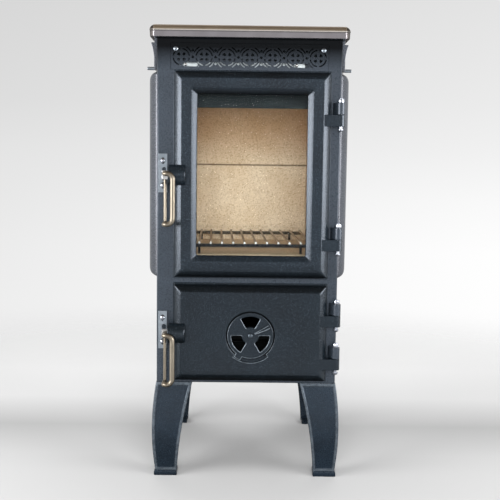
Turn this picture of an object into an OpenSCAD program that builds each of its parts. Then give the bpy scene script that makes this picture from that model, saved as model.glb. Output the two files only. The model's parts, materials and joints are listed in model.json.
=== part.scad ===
// Free-standing wood stove: a cast front with two hinged doors, a polished top rail,
// bulged side panels and four curved legs, lined with refractory boards.
// Millimetres. Z is up, the feet stand on Z = 0 and the front faces -Y.
// Inside at_front() the front casting's face is Y = 0 and the stove lies behind it.

/* [Body] */
// Width of the front casting
body_w = 350; // [336:2:380]
// Depth from the front casting's face to the back of the rear wall
body_d = 385; // [370:5:430]
// Thickness of the front casting
plate_t = 8; // [7:0.5:10]
// Chamfer around the front casting
plate_chamfer = 2.5; // [1:0.5:4]
// Thickness of the side and rear walls
wall_t = 5; // [4:0.5:6]
// Distance from the front casting's edge to a side wall
wall_inset = 8; // [6:0.5:10]
// Thickness of the base plate
base_t = 6; // [5:0.5:8]
// Height of the casting below the ash door
sill_h = 8.7; // [6:0.1:14]
// Height of the casting between the two doors
mid_h = 15.2; // [10:0.1:24]
// Height of the casting above the main door
header_h = 63; // [58:1:80]

/* [Doors] */
// Width of both doors at the foot of their bevel
door_w = 293; // [280:1:296]
// Offset of both doors towards the hinges
door_x = 6.5; // [4:0.5:8]
// Height of the main door
main_door_h = 389.5; // [370:0.5:420]
// Height of the ash door
ash_door_h = 186.6; // [176:0.1:210]
// Distance from the front casting to the doors' flat face
door_t = 24; // [20:1:28]
// Thickness of the lip around each door
lip_t = 3.5; // [2.5:0.5:5]
// Width of the lip around each door
lip_w = 3; // [1:0.5:4]
// Width of the bevel around each door
bevel_w = 12.5; // [10:0.5:16]
// Width of the flat band around the window
band_w = 19.5; // [16:0.5:24]
// Width of the bevel around the window
window_bevel_w = 10.5; // [8:0.5:14]
// Gap between a closed door and the front casting
door_clear = 0.5; // [0.4:0.1:1]
// Inset of the openings in the front casting from the doors' outline
opening_inset = 24; // [22:0.5:26]
// Thickness of the ash door's face
ash_face_t = 8; // [7:0.5:10]

/* [Glass and seals] */
// Thickness of the glass
glass_t = 4; // [3:0.5:5]
// Overlap of the glass behind the window's edge
glass_lap = 9; // [7:0.5:10]
// Thickness of the flat seal in front of the glass
glass_seal_t = 1.5; // [1:0.5:2]
// Distance from the front casting to the seat of the glass seal
glass_seat = 11; // [10:0.5:13]
// Thickness of the glass clips
clip_t = 2; // [1.5:0.5:2.5]
// Width of the glass clips
clip_w = 16; // [12:1:22]
// Width of the sealing rope
rope_w = 8; // [6:0.5:9]
// Depth of the rope's groove
rope_depth = 5.5; // [4:0.5:7]
// Inset of the rope's groove from a door's outline
rope_inset = 9.5; // [8:0.5:11]

/* [Hinges] */
// Distance from the hinge line to the side of the front casting
hinge_in = 2; // [1:0.5:4]
// Distance from the hinge line to the front casting's face
hinge_out = 15.75; // [14:0.25:18]
// Outer radius of the knuckles
knuckle_r = 7.75; // [7:0.25:8.5]
// Height of one knuckle
knuckle_h = 22; // [18:1:26]
// Radius of the hinge bolts
pin_r = 3; // [2.5:0.25:3.5]
// Running clearance around the hinge bolts
pin_clear = 0.06; // [0.04:0.01:0.1]
// Gap between the two knuckles of a hinge
knuckle_gap = 0.4; // [0.3:0.1:0.8]
// Distance from the main door's bottom edge to its lower hinge
main_hinge_low = 75.5; // [60:0.5:90]
// Distance from the main door's top edge to its upper hinge
main_hinge_high = 78; // [60:0.5:90]
// Distance from the ash door's bottom edge to its lower hinge
ash_hinge_low = 45.8; // [40:0.1:60]
// Distance from the ash door's top edge to its upper hinge
ash_hinge_high = 56.3; // [50:0.1:66]
// Width across the flats of the hinge nuts
nut_af = 10; // [8:0.5:12]
// Height of the hinge nuts
nut_h = 8.5; // [6:0.5:10]

/* [Latches] */
// Height of the main latch above the main door's bottom edge
main_latch_up = 195; // [180:1:210]
// Height of the ash latch above the ash door's bottom edge
ash_latch_up = 93.8; // [85:0.1:100]
// Radius of the latch boss
boss_r = 19.5; // [17:0.5:21]
// Distance that a boss reaches past the door's edge
boss_out = 11; // [9:0.5:12]
// Length of a boss
boss_len = 33; // [28:1:40]
// Distance from the spindle to the front casting's face
spindle_out = 20.2; // [19:0.1:22]
// Radius of the spindle
spindle_r = 5; // [4:0.5:6]
// Running clearance around the spindle
spindle_clear = 0.08; // [0.05:0.01:0.1]
// Length of the catch block along the spindle
catch_len = 11; // [9:0.5:12]
// Half the height of the catch block
catch_half = 8.5; // [7:0.5:10]
// Radius of the catch finger's round tip
finger_r = 2.6; // [2:0.1:3]
// Depth that the catch finger reaches into the strike plate
finger_reach = 1.8; // [1:0.1:2.5]
// Radius of the grip bar
grip_r = 4.75; // [4:0.25:5.5]
// Radius of the thin bar behind the grip
back_bar_r = 2.9; // [2.4:0.1:3.5]
// Bend radius of the grip bar
grip_bend = 15; // [12:1:18]
// Height between the two ends of the grip
grip_len = 95; // [85:1:105]
// Distance of the grip in front of the spindle
grip_fwd = 25.5; // [25.5:0.5:30]
// Distance of the grip to the right of the catch block's middle
grip_side = 16; // [12:1:18]
// Height of the main grip's upper end above its spindle
main_grip_rise = 3; // [-2:0.5:4]
// Height of the ash grip's upper end above its spindle
ash_grip_rise = -1; // [-2:0.5:4]

/* [Strike plates] */
// Width of a strike plate
strike_w = 16.5; // [15:0.5:18]
// Height of a strike plate
strike_h = 74; // [68:1:80]
// Thickness of a strike plate
strike_t = 5; // [4:0.5:6]
// Distance from the front casting's edge to a strike plate
strike_in = 4; // [3.5:0.5:5]
// Height of a strike plate's centre above its spindle
strike_rise = 3; // [2:0.5:4]
// Distance between the two screws of a strike plate
strike_pitch = 47; // [46:0.5:52]
// Height of the slot for the catch finger
strike_slot_h = 26; // [25:0.5:27]

/* [Air controls] */
// Radius of the air disc
disc_r = 44.5; // [40:0.5:48]
// Thickness of the air disc
disc_t = 3.5; // [3:0.5:4]
// Gap between the air disc and its recess
disc_clear = 2.5; // [1.5:0.5:4]
// Depth of the recess for the air disc
recess_t = 4; // [4:0.5:5]
// Height of the air disc's centre below the ash door's centre
disc_drop = 3.2; // [0:0.1:8]
// Inner radius of the three air openings
air_in_r = 16.8; // [14:0.2:20]
// Outer radius of the three air openings
air_out_r = 37; // [32:0.5:39]
// Angle that the air disc turns, and that each air opening spans
air_angle = 60; // [50:1:60]
// Angle of the disc's fin
fin_angle = 27; // [20:1:40]
// Height of the disc's fin
fin_h = 7; // [5:0.5:9]
// Travel of the upper air slide
slide_travel = 13; // [8:1:13]
// Thickness of the upper air slide
slide_t = 2; // [1.5:0.5:2.5]
// Height of the upper air slide
slide_h = 16; // [13:1:17]

/* [Grille] */
// Width of the grille
grille_w = 298; // [292:2:304]
// Height of the grille
grille_h = 50; // [48:1:52]
// Thickness of the grille
grille_t = 3; // [2.5:0.5:3.5]
// Distance from the main door's top edge to the grille
grille_up = 3; // [2:0.5:5]
// Number of rosettes
rosettes = 7; // [5:2:7]
// Distance between the rosettes
rosette_pitch = 43; // [41:0.5:43]
// Radius of a rosette
rosette_r = 14; // [12:0.5:14.5]

/* [Top] */
// Thickness of the top plate
top_t = 12; // [10:1:14]
// Overhang of the top plate past the front casting and the rear wall
top_over = 5; // [4:0.5:8]
// Overhang of the top plate past the front casting's sides
top_side = 6; // [5:0.5:8]
// Height of the rail's front
rail_h = 22.9; // [20:0.1:26]
// Thickness of the rail
rail_t = 8; // [7:0.5:9]
// Depth that the rail's sides hang below its front
rail_drop = 8; // [6:0.5:10]
// Height of the rail's rounded upper part
rail_nose = 11; // [9:0.5:13]
// Height of the skirt below the rail's sides
skirt_h = 51; // [45:1:55]
// Radius of the hob lid
lid_r = 72; // [60:1:75]
// Width of the ledge below the hob lid
lid_ledge = 7; // [5:0.5:9]
// Distance from the front casting's face to the hob lid's centre
lid_y = 112; // [108:1:116]
// Outer radius of the flue collar
flue_r = 59; // [50:0.5:60]
// Wall of the flue collar
flue_wall = 4; // [3:0.5:5]
// Height of the flue collar above the top plate
flue_h = 40; // [35:1:44]
// Distance from the flue collar's centre to the back of the rear wall
flue_back = 95; // [90:1:100]
// Width of the flue collar's flange
flue_flange = 13; // [12:0.5:14]

/* [Side panels] */
// Distance that a side panel stands out from the front casting's side
panel_out = 17.5; // [14:0.5:20]
// Length of the panel's bevel, front and back
panel_bevel = 28; // [22:1:34]
// Height of the panel's bevel, top and bottom
panel_bevel_z = 17; // [12:1:22]
// Gap between a side panel and the skirt above it
panel_gap = 3; // [2:0.5:6]
// Height of the side panels
panel_h = 394; // [360:2:420]
// Inset of the side panels from the front casting and the rear wall
panel_inset = 12; // [8:1:16]
// Radius of the side studs
stud_r = 3.5; // [3:0.25:4]
// Length of a side stud outside the skirt
stud_len = 17; // [12:1:22]

/* [Legs] */
// Height of the legs
leg_h = 188; // [160:2:210]
// Width of a leg at its top
leg_top_w = 71; // [64:1:78]
// Width of a leg at its foot
leg_foot_w = 41; // [36:1:46]
// Outward bulge of a leg
leg_bulge = 7.7; // [5:0.1:10]
// Inward curve of a leg's inner edge
leg_curve = 5.8; // [3:0.1:8]
// Thickness of a leg
leg_t = 7; // [6:0.5:9]
// Width of the raised rim on a leg
leg_rim_w = 5; // [4:0.5:6]
// Height of the raised rim on a leg
leg_rim_t = 1.2; // [0.8:0.1:1.8]
// Height of the toe
toe_h = 12; // [8:1:16]
// Distance that the toe stands out
toe_out = 4; // [2:0.5:5]

/* [Fire chamber] */
// Height of the hearth plate above the mid strip's lower edge
hearth_up = 15.7; // [12:0.1:20]
// Thickness of the hearth plate
hearth_t = 8; // [6:0.5:10]
// Thickness of the floor board
floor_t = 30; // [25:1:36]
// Thickness of the side and back boards
board_t = 25; // [20:1:28]
// Height of the lower back board
back_low_h = 171.5; // [150:0.5:190]
// Height of the smoke space above the side and back boards
smoke_h = 91; // [80:1:110]
// Air gap behind and beside the boards
board_gap = 2; // [1:0.5:4]
// Width of the ash trough in front of the floor board
trough_w = 33; // [28:1:35]
// Thickness of the baffle
baffle_t = 8; // [6:1:12]
// Depth of the smoke gap in front of the baffle
baffle_gap = 110; // [90:5:140]
// Distance from the main door's top edge to the air deflector's lower edge
deflector_down = 66; // [55:1:72]
// Thickness of the air deflector
deflector_t = 3; // [2:0.5:4]
// Depth of the air duct behind the front casting
duct_d = 20; // [18:1:22]
// Number of wires in the rack
rack_wires = 12; // [8:1:13]
// Distance between the wires
rack_pitch = 22.4; // [20:0.1:22.8]
// Radius of the wires
rack_wire_r = 2.2; // [1.6:0.1:2.8]
// Room in front of and behind the loose rack
rack_room = 14; // [13:1:30]
// Height of the rack's bars above the floor board
rack_h = 20; // [14:1:30]
// Height of the rack's flat bars
rack_bar_h = 7; // [5:0.5:9]
// Turn of the loose rack as it stands
rack_turn = 1.6; // [0:0.1:2]

/* [Ash pan] */
// Depth of the ash pan
pan_d = 310; // [260:5:330]
// Height of the ash pan
pan_h = 75; // [50:1:90]
// Wall of the ash pan
pan_wall = 2; // [1.5:0.5:3]
// Clearance between the ash pan and the ash opening
pan_clear = 7; // [5:0.5:10]

/* [Hidden] */

$fn = 64;
e = 1;               // overrun of a cut past the face that it opens
seat_gap = 0.3;      // gap between pieces that move past each other
screw_r = 2;         // radius of the small screws
head_r = 4.4;        // radius of the small screws' heads
head_t = 2.6;        // height of the small screws' heads
bolt_r = 3.5;        // radius of the body bolts
bolt_head_r = 6.5;   // radius of the body bolts' heads, across the corners
bolt_head_t = 4.5;   // height of the body bolts' heads
bolt_tail = 5;       // length of a leg bolt below its pad
hole_clear = 0.3;    // clearance around screws and bolts
curve_steps = 14;    // facets along a curved leg

iron = "#2f353b";
iron_light = "#3a4249";
steel = "#c9ccd0";
zinc = "#d7dde2";
polish = "#b9a98c";
board = "#cbb08a";
rope = "#8c8a84";

body_h = sill_h + ash_door_h + mid_h + main_door_h + header_h;
half_w = body_w / 2;
plate_top = leg_h + body_h;
wall_x = half_w - wall_inset;
inner_x = wall_x - wall_t;
base_top = leg_h + base_t;
rear_y = body_d - wall_t;

door_x0 = door_x - door_w / 2;
door_x1 = door_x + door_w / 2;
ash_z0 = leg_h + sill_h;
ash_z1 = ash_z0 + ash_door_h;
main_z0 = ash_z1 + mid_h;
main_z1 = main_z0 + main_door_h;
win_inset = bevel_w + band_w + window_bevel_w;
glass_y = glass_seat - glass_seal_t;
clip_y = glass_y - glass_t;
clip_inset = win_inset - glass_lap;

hinge_x = half_w - hinge_in;
hinge_zs = [
    main_z1 - main_hinge_high, main_z0 + main_hinge_low,
    ash_z1 - ash_hinge_high, ash_z0 + ash_hinge_low
];

main_latch_z = main_z0 + main_latch_up;
ash_latch_z = ash_z0 + ash_latch_up;
boss_x0 = door_x0 - boss_out;
catch_x1 = boss_x0 - 2 * seat_gap;
catch_x0 = catch_x1 - catch_len;
strike_x = strike_in + strike_w / 2 - half_w;
finger_w = 4.6;
finger_x = catch_x0 + finger_w / 2;
bar_x = catch_x0 + catch_len / 2;
bar_y = -spindle_out;
grip_x = bar_x + grip_side;
grip_y = bar_y - grip_fwd;

disc_x = door_x + 1;
disc_z = (ash_z0 + ash_z1) / 2 - disc_drop;
recess_r = disc_r + disc_clear;
pocket_r = recess_r + 6;
lug_span = 15;
pocket_start = 232;
pocket_span = lug_span + air_angle + 2;

grille_z0 = main_z1 + grille_up;
grille_sink = 2;
vent_inset = 3;
rosette_z = grille_z0 + grille_h / 2 - 1;
slide_z0 = grille_z0 + vent_inset - 1;
knob_z = slide_z0 + 8;
knob_xs = [-120.5, 89];
knob_r = 2.6;
knob_slot_h = 7.2;
knob_slot_spare = 10;
knob_slot_off = 2;

top_x = half_w + top_side;
top_z = plate_top + top_t;
rail_z = plate_top - rail_drop;
rail_corner = 4;
skirt_x = half_w + 1;
skirt_z = rail_z - skirt_h;
flue_y = body_d - flue_back;
flue_bolt_r = 3;
flange_t = 6;
stud_z = skirt_z + 6;
stud_y = 60;
skirt_face = skirt_x + 6;

panel_z1 = skirt_z - panel_gap;
panel_z0 = panel_z1 - panel_h;
panel_rim = 7;

hearth_z = ash_z1 + hearth_up;
floor_z = hearth_z + hearth_t;
fire_z = floor_z + floor_t;
board_top = plate_top - smoke_h;
board_x = inner_x - board_gap;
fire_x = board_x - board_t;
back_y = rear_y - board_gap - 6;
fire_back = back_y - board_t;
trough_y = plate_t + trough_w;
rack_z = fire_z + rack_h;
rack_y = (trough_y + fire_back) / 2;
rack_len = fire_back - trough_y - rack_room;
rack_x = door_x - 5;

pan_x0 = door_x0 + opening_inset + pan_clear;
pan_x1 = door_x1 - opening_inset - pan_clear;
pan_y = plate_t + 12;
pan_z = ash_z0 + opening_inset + 2;

// The frame's middle in Y lies halfway between the grips and the rear legs
leg_in = 2;
leg_side = 1;
pad_t = 7;
front_reach = grip_r - grip_y;
rear_reach = body_d + max(leg_bulge - leg_in, toe_out - leg_in, top_over);
front_y = (front_reach - rear_reach) / 2;

module at_front() { translate([0, front_y, 0]) children(); }

// Box between two corners
module box(low, high) { translate(low) cube(high - low); }

// Outline in X and Z, pushed from y0 to y1
module push_y(y0, y1) { translate([0, y1, 0]) rotate([90, 0, 0]) linear_extrude(y1 - y0) children(); }

// Outline in Y and Z, pushed from x0 to x1
module push_x(x0, x1) { translate([x0, 0, 0]) rotate([90, 0, 90]) linear_extrude(x1 - x0) children(); }

// Block from y0 to y1 whose four sides lean from one inset to another
module lean_block(x0, x1, z0, z1, y0, y1, in0, in1) {
    intersection() {
        translate([0, 0, z0 - e])
            linear_extrude(z1 - z0 + 2 * e)
                polygon([[x0 + in0, y0], [x1 - in0, y0], [x1 - in1, y1], [x0 + in1, y1]]);
        push_x(x0 - e, x1 + e)
            polygon([[y0, z0 + in0], [y0, z1 - in0], [y1, z1 - in1], [y1, z0 + in1]]);
    }
}

// Flat ring between an outline inset by in0 and one inset by in0 + width
module ring_block(x0, x1, z0, z1, y0, y1, in0, width) {
    difference() {
        box([x0 + in0, y0, z0 + in0], [x1 - in0, y1, z1 - in0]);
        box([x0 + in0 + width, y0 - e, z0 + in0 + width], [x1 - in0 - width, y1 + e, z1 - in0 - width]);
    }
}

module rod_y(x, z, y0, y1, r) { translate([x, y0, z]) rotate([-90, 0, 0]) cylinder(r = r, h = y1 - y0); }

module rod_x(y, z, x0, x1, r) { translate([x0, y, z]) rotate([0, 90, 0]) cylinder(r = r, h = x1 - x0); }

// Sector of a ring in the XZ plane, seen from the front, with angles from +X towards +Z
module sector(r0, r1, a0, a1) {
    difference() {
        intersection() {
            circle(r1);
            polygon([[0, 0], for (i = [0 : 8]) let (a = a0 + (a1 - a0) * i / 8) 3 * r1 * [cos(a), sin(a)]]);
        }
        circle(r0);
    }
}

module slot_xz(w, h) {
    r = min(w, h) / 2;
    dx = w / 2 - r;
    dz = h / 2 - r;
    for (s = [-1, 1]) translate([s * dx, s * dz]) circle(r);
    square([dx > 0 ? 2 * dx : w, dz > 0 ? 2 * dz : h], center = true);
}

// ---- Front casting -------------------------------------------------------------------

module body_knuckle(z) {
    z0 = z + knuckle_gap / 2;
    translate([0, 0, z0])
        linear_extrude(knuckle_h)
            union() {
                translate([hinge_x, -hinge_out]) circle(knuckle_r);
                polygon([
                    [hinge_x - 14, plate_t / 2], [hinge_x - 14, 0], [hinge_x - knuckle_r, -hinge_out],
                    [hinge_x, -hinge_out - knuckle_r / 2],
                    [hinge_x + 1, -hinge_out], [hinge_x - 1, plate_t / 2]
                ]);
            }
}

module hinge_bore(z, r) {
    translate([hinge_x, -hinge_out, z - knuckle_h - e]) cylinder(r = r, h = 2 * knuckle_h + 2 * e);
}

module door_opening(z0, z1) {
    box([door_x0 + opening_inset, -e, z0 + opening_inset],
        [door_x1 - opening_inset, plate_t + e, z1 - opening_inset]);
}

grille_screw_x = grille_w / 2 - 9.5;
grille_screw_z = grille_z0 + grille_h - 11;
screw_pad = 6;

module screw_pads() {
    for (s = [-1, 1])
        box([s * grille_screw_x - screw_pad, -e, grille_screw_z - screw_pad],
            [s * grille_screw_x + screw_pad, plate_t + e, grille_z0 + grille_h]);
}

module front_plate() {
    color(iron) at_front() difference() {
        union() {
            lean_block(-half_w, half_w, leg_h, plate_top + plate_chamfer, 0, plate_chamfer, plate_chamfer, 0);
            box([-half_w, plate_chamfer, leg_h], [half_w, plate_t, plate_top]);
            for (z = hinge_zs) body_knuckle(z);
        }
        box([-half_w - e, -e, plate_top], [half_w + e, plate_t, plate_top + 2 * plate_chamfer]);
        door_opening(main_z0, main_z1);
        door_opening(ash_z0, ash_z1);
        box([-grille_w / 2, -e, grille_z0], [grille_w / 2, grille_sink, grille_z0 + grille_h]);
        difference() {
            box([vent_inset - grille_w / 2, -e, grille_z0 + vent_inset],
                [grille_w / 2 - vent_inset, plate_t + e, grille_z0 + grille_h - vent_inset]);
            screw_pads();
        }
        for (z = hinge_zs) hinge_bore(z, pin_r + pin_clear);
        for (s = [-1, 1]) rod_y(s * grille_screw_x, grille_screw_z, -e, plate_t + e, screw_r + hole_clear);
        for (z = [main_latch_z, ash_latch_z], s = [-1, 1])
            rod_y(strike_x, z + strike_rise + s * strike_pitch / 2, -e, plate_t + e, screw_r + hole_clear);
    }
}

// ---- Walls and base ------------------------------------------------------------------

module side_wall(side) {
    x0 = side < 0 ? -wall_x : inner_x;
    color(iron) at_front() difference() {
        box([x0, plate_t, base_top], [x0 + wall_t, rear_y, plate_top]);
        rod_x(stud_y, stud_z, x0 - e, x0 + wall_t + e, stud_r + hole_clear);
    }
}

rear_rim = 26;
rear_sink = 1.2;
rear_bolt_x = wall_x - rear_rim / 2;
rear_bolt_zs = [base_top + 30, (base_top + plate_top) / 2, plate_top - 30];

module left_wall() { side_wall(-1); }

module right_wall() { side_wall(1); }

module rear_wall() {
    color(iron) at_front() difference() {
        box([-wall_x, rear_y, base_top], [wall_x, body_d, plate_top]);
        box([rear_rim - wall_x, body_d - rear_sink, base_top + rear_rim],
            [wall_x - rear_rim, body_d + e, plate_top - rear_rim]);
        for (s = [-1, 1], z = rear_bolt_zs)
            rod_y(s * rear_bolt_x, z, rear_y - e, body_d + e, bolt_r + hole_clear);
    }
}

module rear_wall_bolts() {
    color(zinc) at_front() for (s = [-1, 1], z = rear_bolt_zs) {
        rod_y(s * rear_bolt_x, z, rear_y, body_d + 0.01, bolt_r);
        translate([s * rear_bolt_x, body_d, z]) rotate([-90, 0, 0])
            cylinder(r = bolt_head_r, h = bolt_head_t, $fn = 6);
    }
}

leg_bolt_in = 29;
leg_bolt_at = leg_bolt_in;

module at_leg_bolts() {
    for (s = [-1, 1], y = [leg_bolt_at, body_d - leg_bolt_at])
        translate([s * (half_w - leg_bolt_at), y, 0]) children();
}

module base_plate() {
    color(iron) at_front() difference() {
        box([-wall_x, plate_t, leg_h], [wall_x, body_d, base_top]);
        at_leg_bolts() translate([0, 0, leg_h - e]) cylinder(r = bolt_r + hole_clear, h = base_t + 2 * e);
    }
}

// ---- Top -----------------------------------------------------------------------------

module top_outline() {
    y1 = body_d + top_over;
    translate([-top_x, rail_corner - top_over]) square([2 * top_x, y1 + top_over - rail_corner]);
    translate([rail_corner - top_x, -top_over]) square([2 * (top_x - rail_corner), 2 * rail_corner]);
    for (s = [-1, 1]) translate([s * (top_x - rail_corner), rail_corner - top_over]) circle(rail_corner);
}

// Section of one skirt: an upright leg under the top plate, flaring outwards below the rail
module skirt_section() {
    flare = top_x + rail_t - 1.5;
    polygon([
        [skirt_x, skirt_z], [skirt_face, skirt_z],
        [skirt_face, skirt_z + 24], [skirt_face + 1, skirt_z + 32],
        [skirt_face + 3, skirt_z + 42], [flare, rail_z - 1.5], [flare, rail_z], [top_x, rail_z],
        [top_x, plate_top + e], [skirt_x, plate_top + e]
    ]);
}

module skirt(side) {
    mirror([side < 0 ? 1 : 0, 0, 0]) push_y(plate_t + 8, body_d) skirt_section();
}

module top_plate() {
    color(iron) at_front() difference() {
        union() {
            translate([0, 0, plate_top]) linear_extrude(top_t) top_outline();
            skirt(-1);
            skirt(1);
        }
        translate([0, lid_y, plate_top + top_t / 2]) cylinder(r = lid_r, h = top_t, $fn = 96);
        translate([0, lid_y, plate_top - e]) cylinder(r = lid_r - lid_ledge, h = top_t, $fn = 96);
        translate([0, flue_y, plate_top - e]) cylinder(r = flue_r - flue_wall, h = top_t + 2 * e, $fn = 96);
        at_flue_bolts() translate([0, 0, plate_top - e])
            cylinder(r = flue_bolt_r + hole_clear, h = top_t + 2 * e);
        for (s = [-1, 1]) rod_x(stud_y, stud_z, s * skirt_x - 9, s * skirt_x + 9, stud_r + hole_clear);
    }
}

// Section of the rail, with its inner face on X = 0: a round nose over a flat band
module rail_section(drop) {
    band = rail_h - rail_nose;
    translate([0, -drop]) square([rail_t - 1, band + drop - 1]);
    translate([0, band - 1 - e]) square([rail_t - 2, 1 + 2 * e]);
    intersection() {
        translate([0, band]) square([rail_t, rail_nose]);
        translate([rail_t - rail_nose, band]) circle(rail_nose, $fn = 96);
    }
}

module rail_side(side) {
    mirror([side < 0 ? 1 : 0, 0, 0]) {
        translate([top_x, 0, plate_top]) push_y(rail_corner - top_over, body_d) rail_section(rail_drop);
        translate([top_x - rail_corner, rail_corner - top_over, plate_top])
            rotate([0, 0, -90])
                rotate_extrude(angle = 90) translate([rail_corner, 0]) rail_section(rail_drop);
    }
}

module top_rail() {
    x = top_x - rail_corner;
    color(polish) at_front() {
        rail_side(-1);
        rail_side(1);
        translate([-x, -top_over, plate_top]) rotate([0, 0, -90]) push_y(0, 2 * x) rail_section(0);
    }
}

module hob_lid() {
    color(iron_light) at_front() translate([0, lid_y, plate_top + top_t / 2]) difference() {
        cylinder(r = lid_r - 2 * seat_gap, h = top_t / 2, $fn = 96);
        translate([0, 0, top_t / 2 - 1]) difference() {
            cylinder(r = lid_r * 0.7, h = 2, $fn = 96);
            translate([0, 0, -e]) cylinder(r = lid_r * 0.7 - 2, h = 4, $fn = 96);
        }
        translate([-12, lid_r * 0.38, -e]) cube([24, 9, top_t]);
    }
}

module at_flue_bolts() {
    for (i = [0 : 3]) rotate_about_flue(45 + 90 * i) translate([flue_r + flue_flange / 2, 0, 0]) children();
}

module rotate_about_flue(a) { translate([0, flue_y, 0]) rotate([0, 0, a]) children(); }

module flue_collar() {
    color(iron_light) at_front() difference() {
        translate([0, flue_y, top_z]) union() {
            cylinder(r = flue_r + flue_flange, h = flange_t, $fn = 96);
            cylinder(r = flue_r, h = flue_h, $fn = 96);
        }
        translate([0, flue_y, top_z - e]) cylinder(r = flue_r - flue_wall, h = flue_h + 2 * e, $fn = 96);
        at_flue_bolts() translate([0, 0, top_z - e])
            cylinder(r = flue_bolt_r + hole_clear, h = flange_t + 2 * e);
    }
}

module flue_bolts() {
    color(zinc) at_front() at_flue_bolts() {
        translate([0, 0, plate_top]) cylinder(r = flue_bolt_r, h = top_t + flange_t + 0.01);
        translate([0, 0, top_z + flange_t]) cylinder(r = 5.2, h = 4, $fn = 6);
    }
}

// ---- Side panels and studs -----------------------------------------------------------

module side_panel(side) {
    x0 = wall_x;
    x1 = half_w + 2;
    x2 = half_w + panel_out;
    y0 = panel_inset;
    y1 = body_d - panel_inset;
    b = panel_bevel;
    c = panel_bevel_z;
    color(iron) at_front() mirror([side < 0 ? 1 : 0, 0, 0]) difference() {
        intersection() {
            translate([0, 0, panel_z0]) linear_extrude(panel_h) polygon([
                [x0, y0], [x1, y0], [x2 - 3, y0 + b - 8], [x2 - 0.8, y0 + b - 3], [x2, y0 + b],
                [x2, y1 - b], [x2 - 0.8, y1 - b + 3], [x2 - 3, y1 - b + 8], [x1, y1], [x0, y1]
            ]);
            push_y(y0, y1) polygon([
                [x0, panel_z0], [x1, panel_z0], [x2 - 3, panel_z0 + c - 5], [x2 - 0.8, panel_z0 + c - 2],
                [x2, panel_z0 + c + 1], [x2, panel_z1 - c - 1], [x2 - 0.8, panel_z1 - c + 2],
                [x2 - 3, panel_z1 - c + 5], [x1, panel_z1], [x0, panel_z1]
            ]);
        }
        box([x0 - e, y0 + b, panel_z0 + c], [x2 - panel_rim + 2, y1 - b, panel_z1 - c]);
    }
}

module left_side_panel() { side_panel(-1); }

module right_side_panel() { side_panel(1); }

module side_studs() {
    color(steel) at_front() for (s = [-1, 1]) {
        x = s * (skirt_face + stud_len);
        rod_x(stud_y, stud_z, min(s * inner_x, x), max(s * inner_x, x), stud_r);
    }
}

// ---- Legs ----------------------------------------------------------------------------

function leg_face(t) = -leg_bulge * 4 * t * (1 - t);
function leg_inner(t) = leg_foot_w + (leg_top_w - leg_foot_w) * t - leg_curve * 4 * t * (1 - t);
function steps_up(t0, t1) = [for (i = [0 : curve_steps]) t0 + (t1 - t0) * i / curve_steps];
function steps_down(t0, t1) = [for (i = [0 : curve_steps]) t1 + (t0 - t1) * i / curve_steps];

// Outline of one web, from its outer edge on 0 to its inner edge
module web_outline(inset, t0, t1) {
    polygon([
        for (t = steps_up(t0, t1)) [leg_face(t) + inset, t * leg_h],
        for (t = steps_down(t0, t1)) [leg_inner(t) - inset, t * leg_h]
    ]);
}

// Bowed sheet that a web is cut from, between two depths below its outer face
module web_bow(d0, d1) {
    polygon([
        for (t = steps_up(0, 1)) [leg_face(t) + d0, t * leg_h],
        for (t = steps_down(0, 1)) [leg_face(t) + d1, t * leg_h]
    ]);
}

module front_web() {
    difference() {
        intersection() {
            push_y(-2 * leg_bulge, leg_t + leg_bulge) web_outline(0, 0, 1);
            push_x(-2 * leg_bulge, leg_top_w + e) web_bow(0, leg_t);
        }
        intersection() {
            push_y(-2 * leg_bulge, leg_t + leg_bulge)
                web_outline(leg_rim_w, (toe_h + 1) / leg_h, 1 - leg_rim_w / leg_h);
            push_x(-2 * leg_bulge, leg_top_w + e) web_bow(-e, leg_rim_t);
        }
    }
}

// One leg: two webs at a right angle, a foot and a pad under the base plate; its corner is on the Z axis
module leg() {
    pad_w = leg_top_w - 18;
    difference() {
        union() {
            front_web();
            mirror([1, -1, 0]) front_web();
            box([0, 0, 0], [leg_foot_w, leg_foot_w, toe_h / 2]);
            lean_toe();
            box([leg_t - e, leg_t - e, leg_h - pad_t], [pad_w, pad_w, leg_h]);
        }
        translate([leg_bolt_at + leg_side, leg_bolt_at - leg_in, leg_h - pad_t - e])
            cylinder(r = bolt_r + hole_clear, h = pad_t + 2 * e);
    }
}

module toe_outline() {
    polygon([
        [-toe_out, 0], [leg_foot_w, 0], [leg_foot_w, toe_h], [-1, toe_h], [-toe_out, toe_h * 0.6]
    ]);
}

// Toe: a low plinth that stands out in front of both webs
module lean_toe() {
    w = leg_foot_w;
    difference() {
        intersection() {
            push_y(-toe_out, w) toe_outline();
            push_x(-toe_out, w) toe_outline();
        }
        box([leg_t, leg_t, toe_h / 2], [w + e, w + e, toe_h + e]);
    }
}

module place_leg(right, rear) {
    x = half_w + leg_side;
    color(iron) at_front() translate([right ? x : -x, rear ? body_d - leg_in : leg_in, 0])
        mirror([right ? 1 : 0, 0, 0]) mirror([0, rear ? 1 : 0, 0]) leg();
}

module front_left_leg() { place_leg(false, false); }

module front_right_leg() { place_leg(true, false); }

module rear_left_leg() { place_leg(false, true); }

module rear_right_leg() { place_leg(true, true); }

module leg_bolts() {
    color(zinc) at_front() at_leg_bolts() {
        translate([0, 0, leg_h - pad_t - bolt_tail])
            cylinder(r = bolt_r, h = base_t + pad_t + bolt_tail + 0.01);
        translate([0, 0, base_top]) cylinder(r = bolt_head_r, h = bolt_head_t, $fn = 6);
    }
}

// ---- Grille and upper air slide ------------------------------------------------------

module at_rosettes() {
    for (i = [0 : rosettes - 1])
        translate([(i - (rosettes - 1) / 2) * rosette_pitch, rosette_z]) children();
}

// Piercings of one rosette: four wedges around a cross, inside a broken ring
module rosette_holes() {
    for (a = [45 : 90 : 315]) {
        sector(3.4, rosette_r - 3.6, a - 24, a + 24);
        sector(rosette_r, rosette_r + 2.3, a - 37, a + 37);
    }
}

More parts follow.
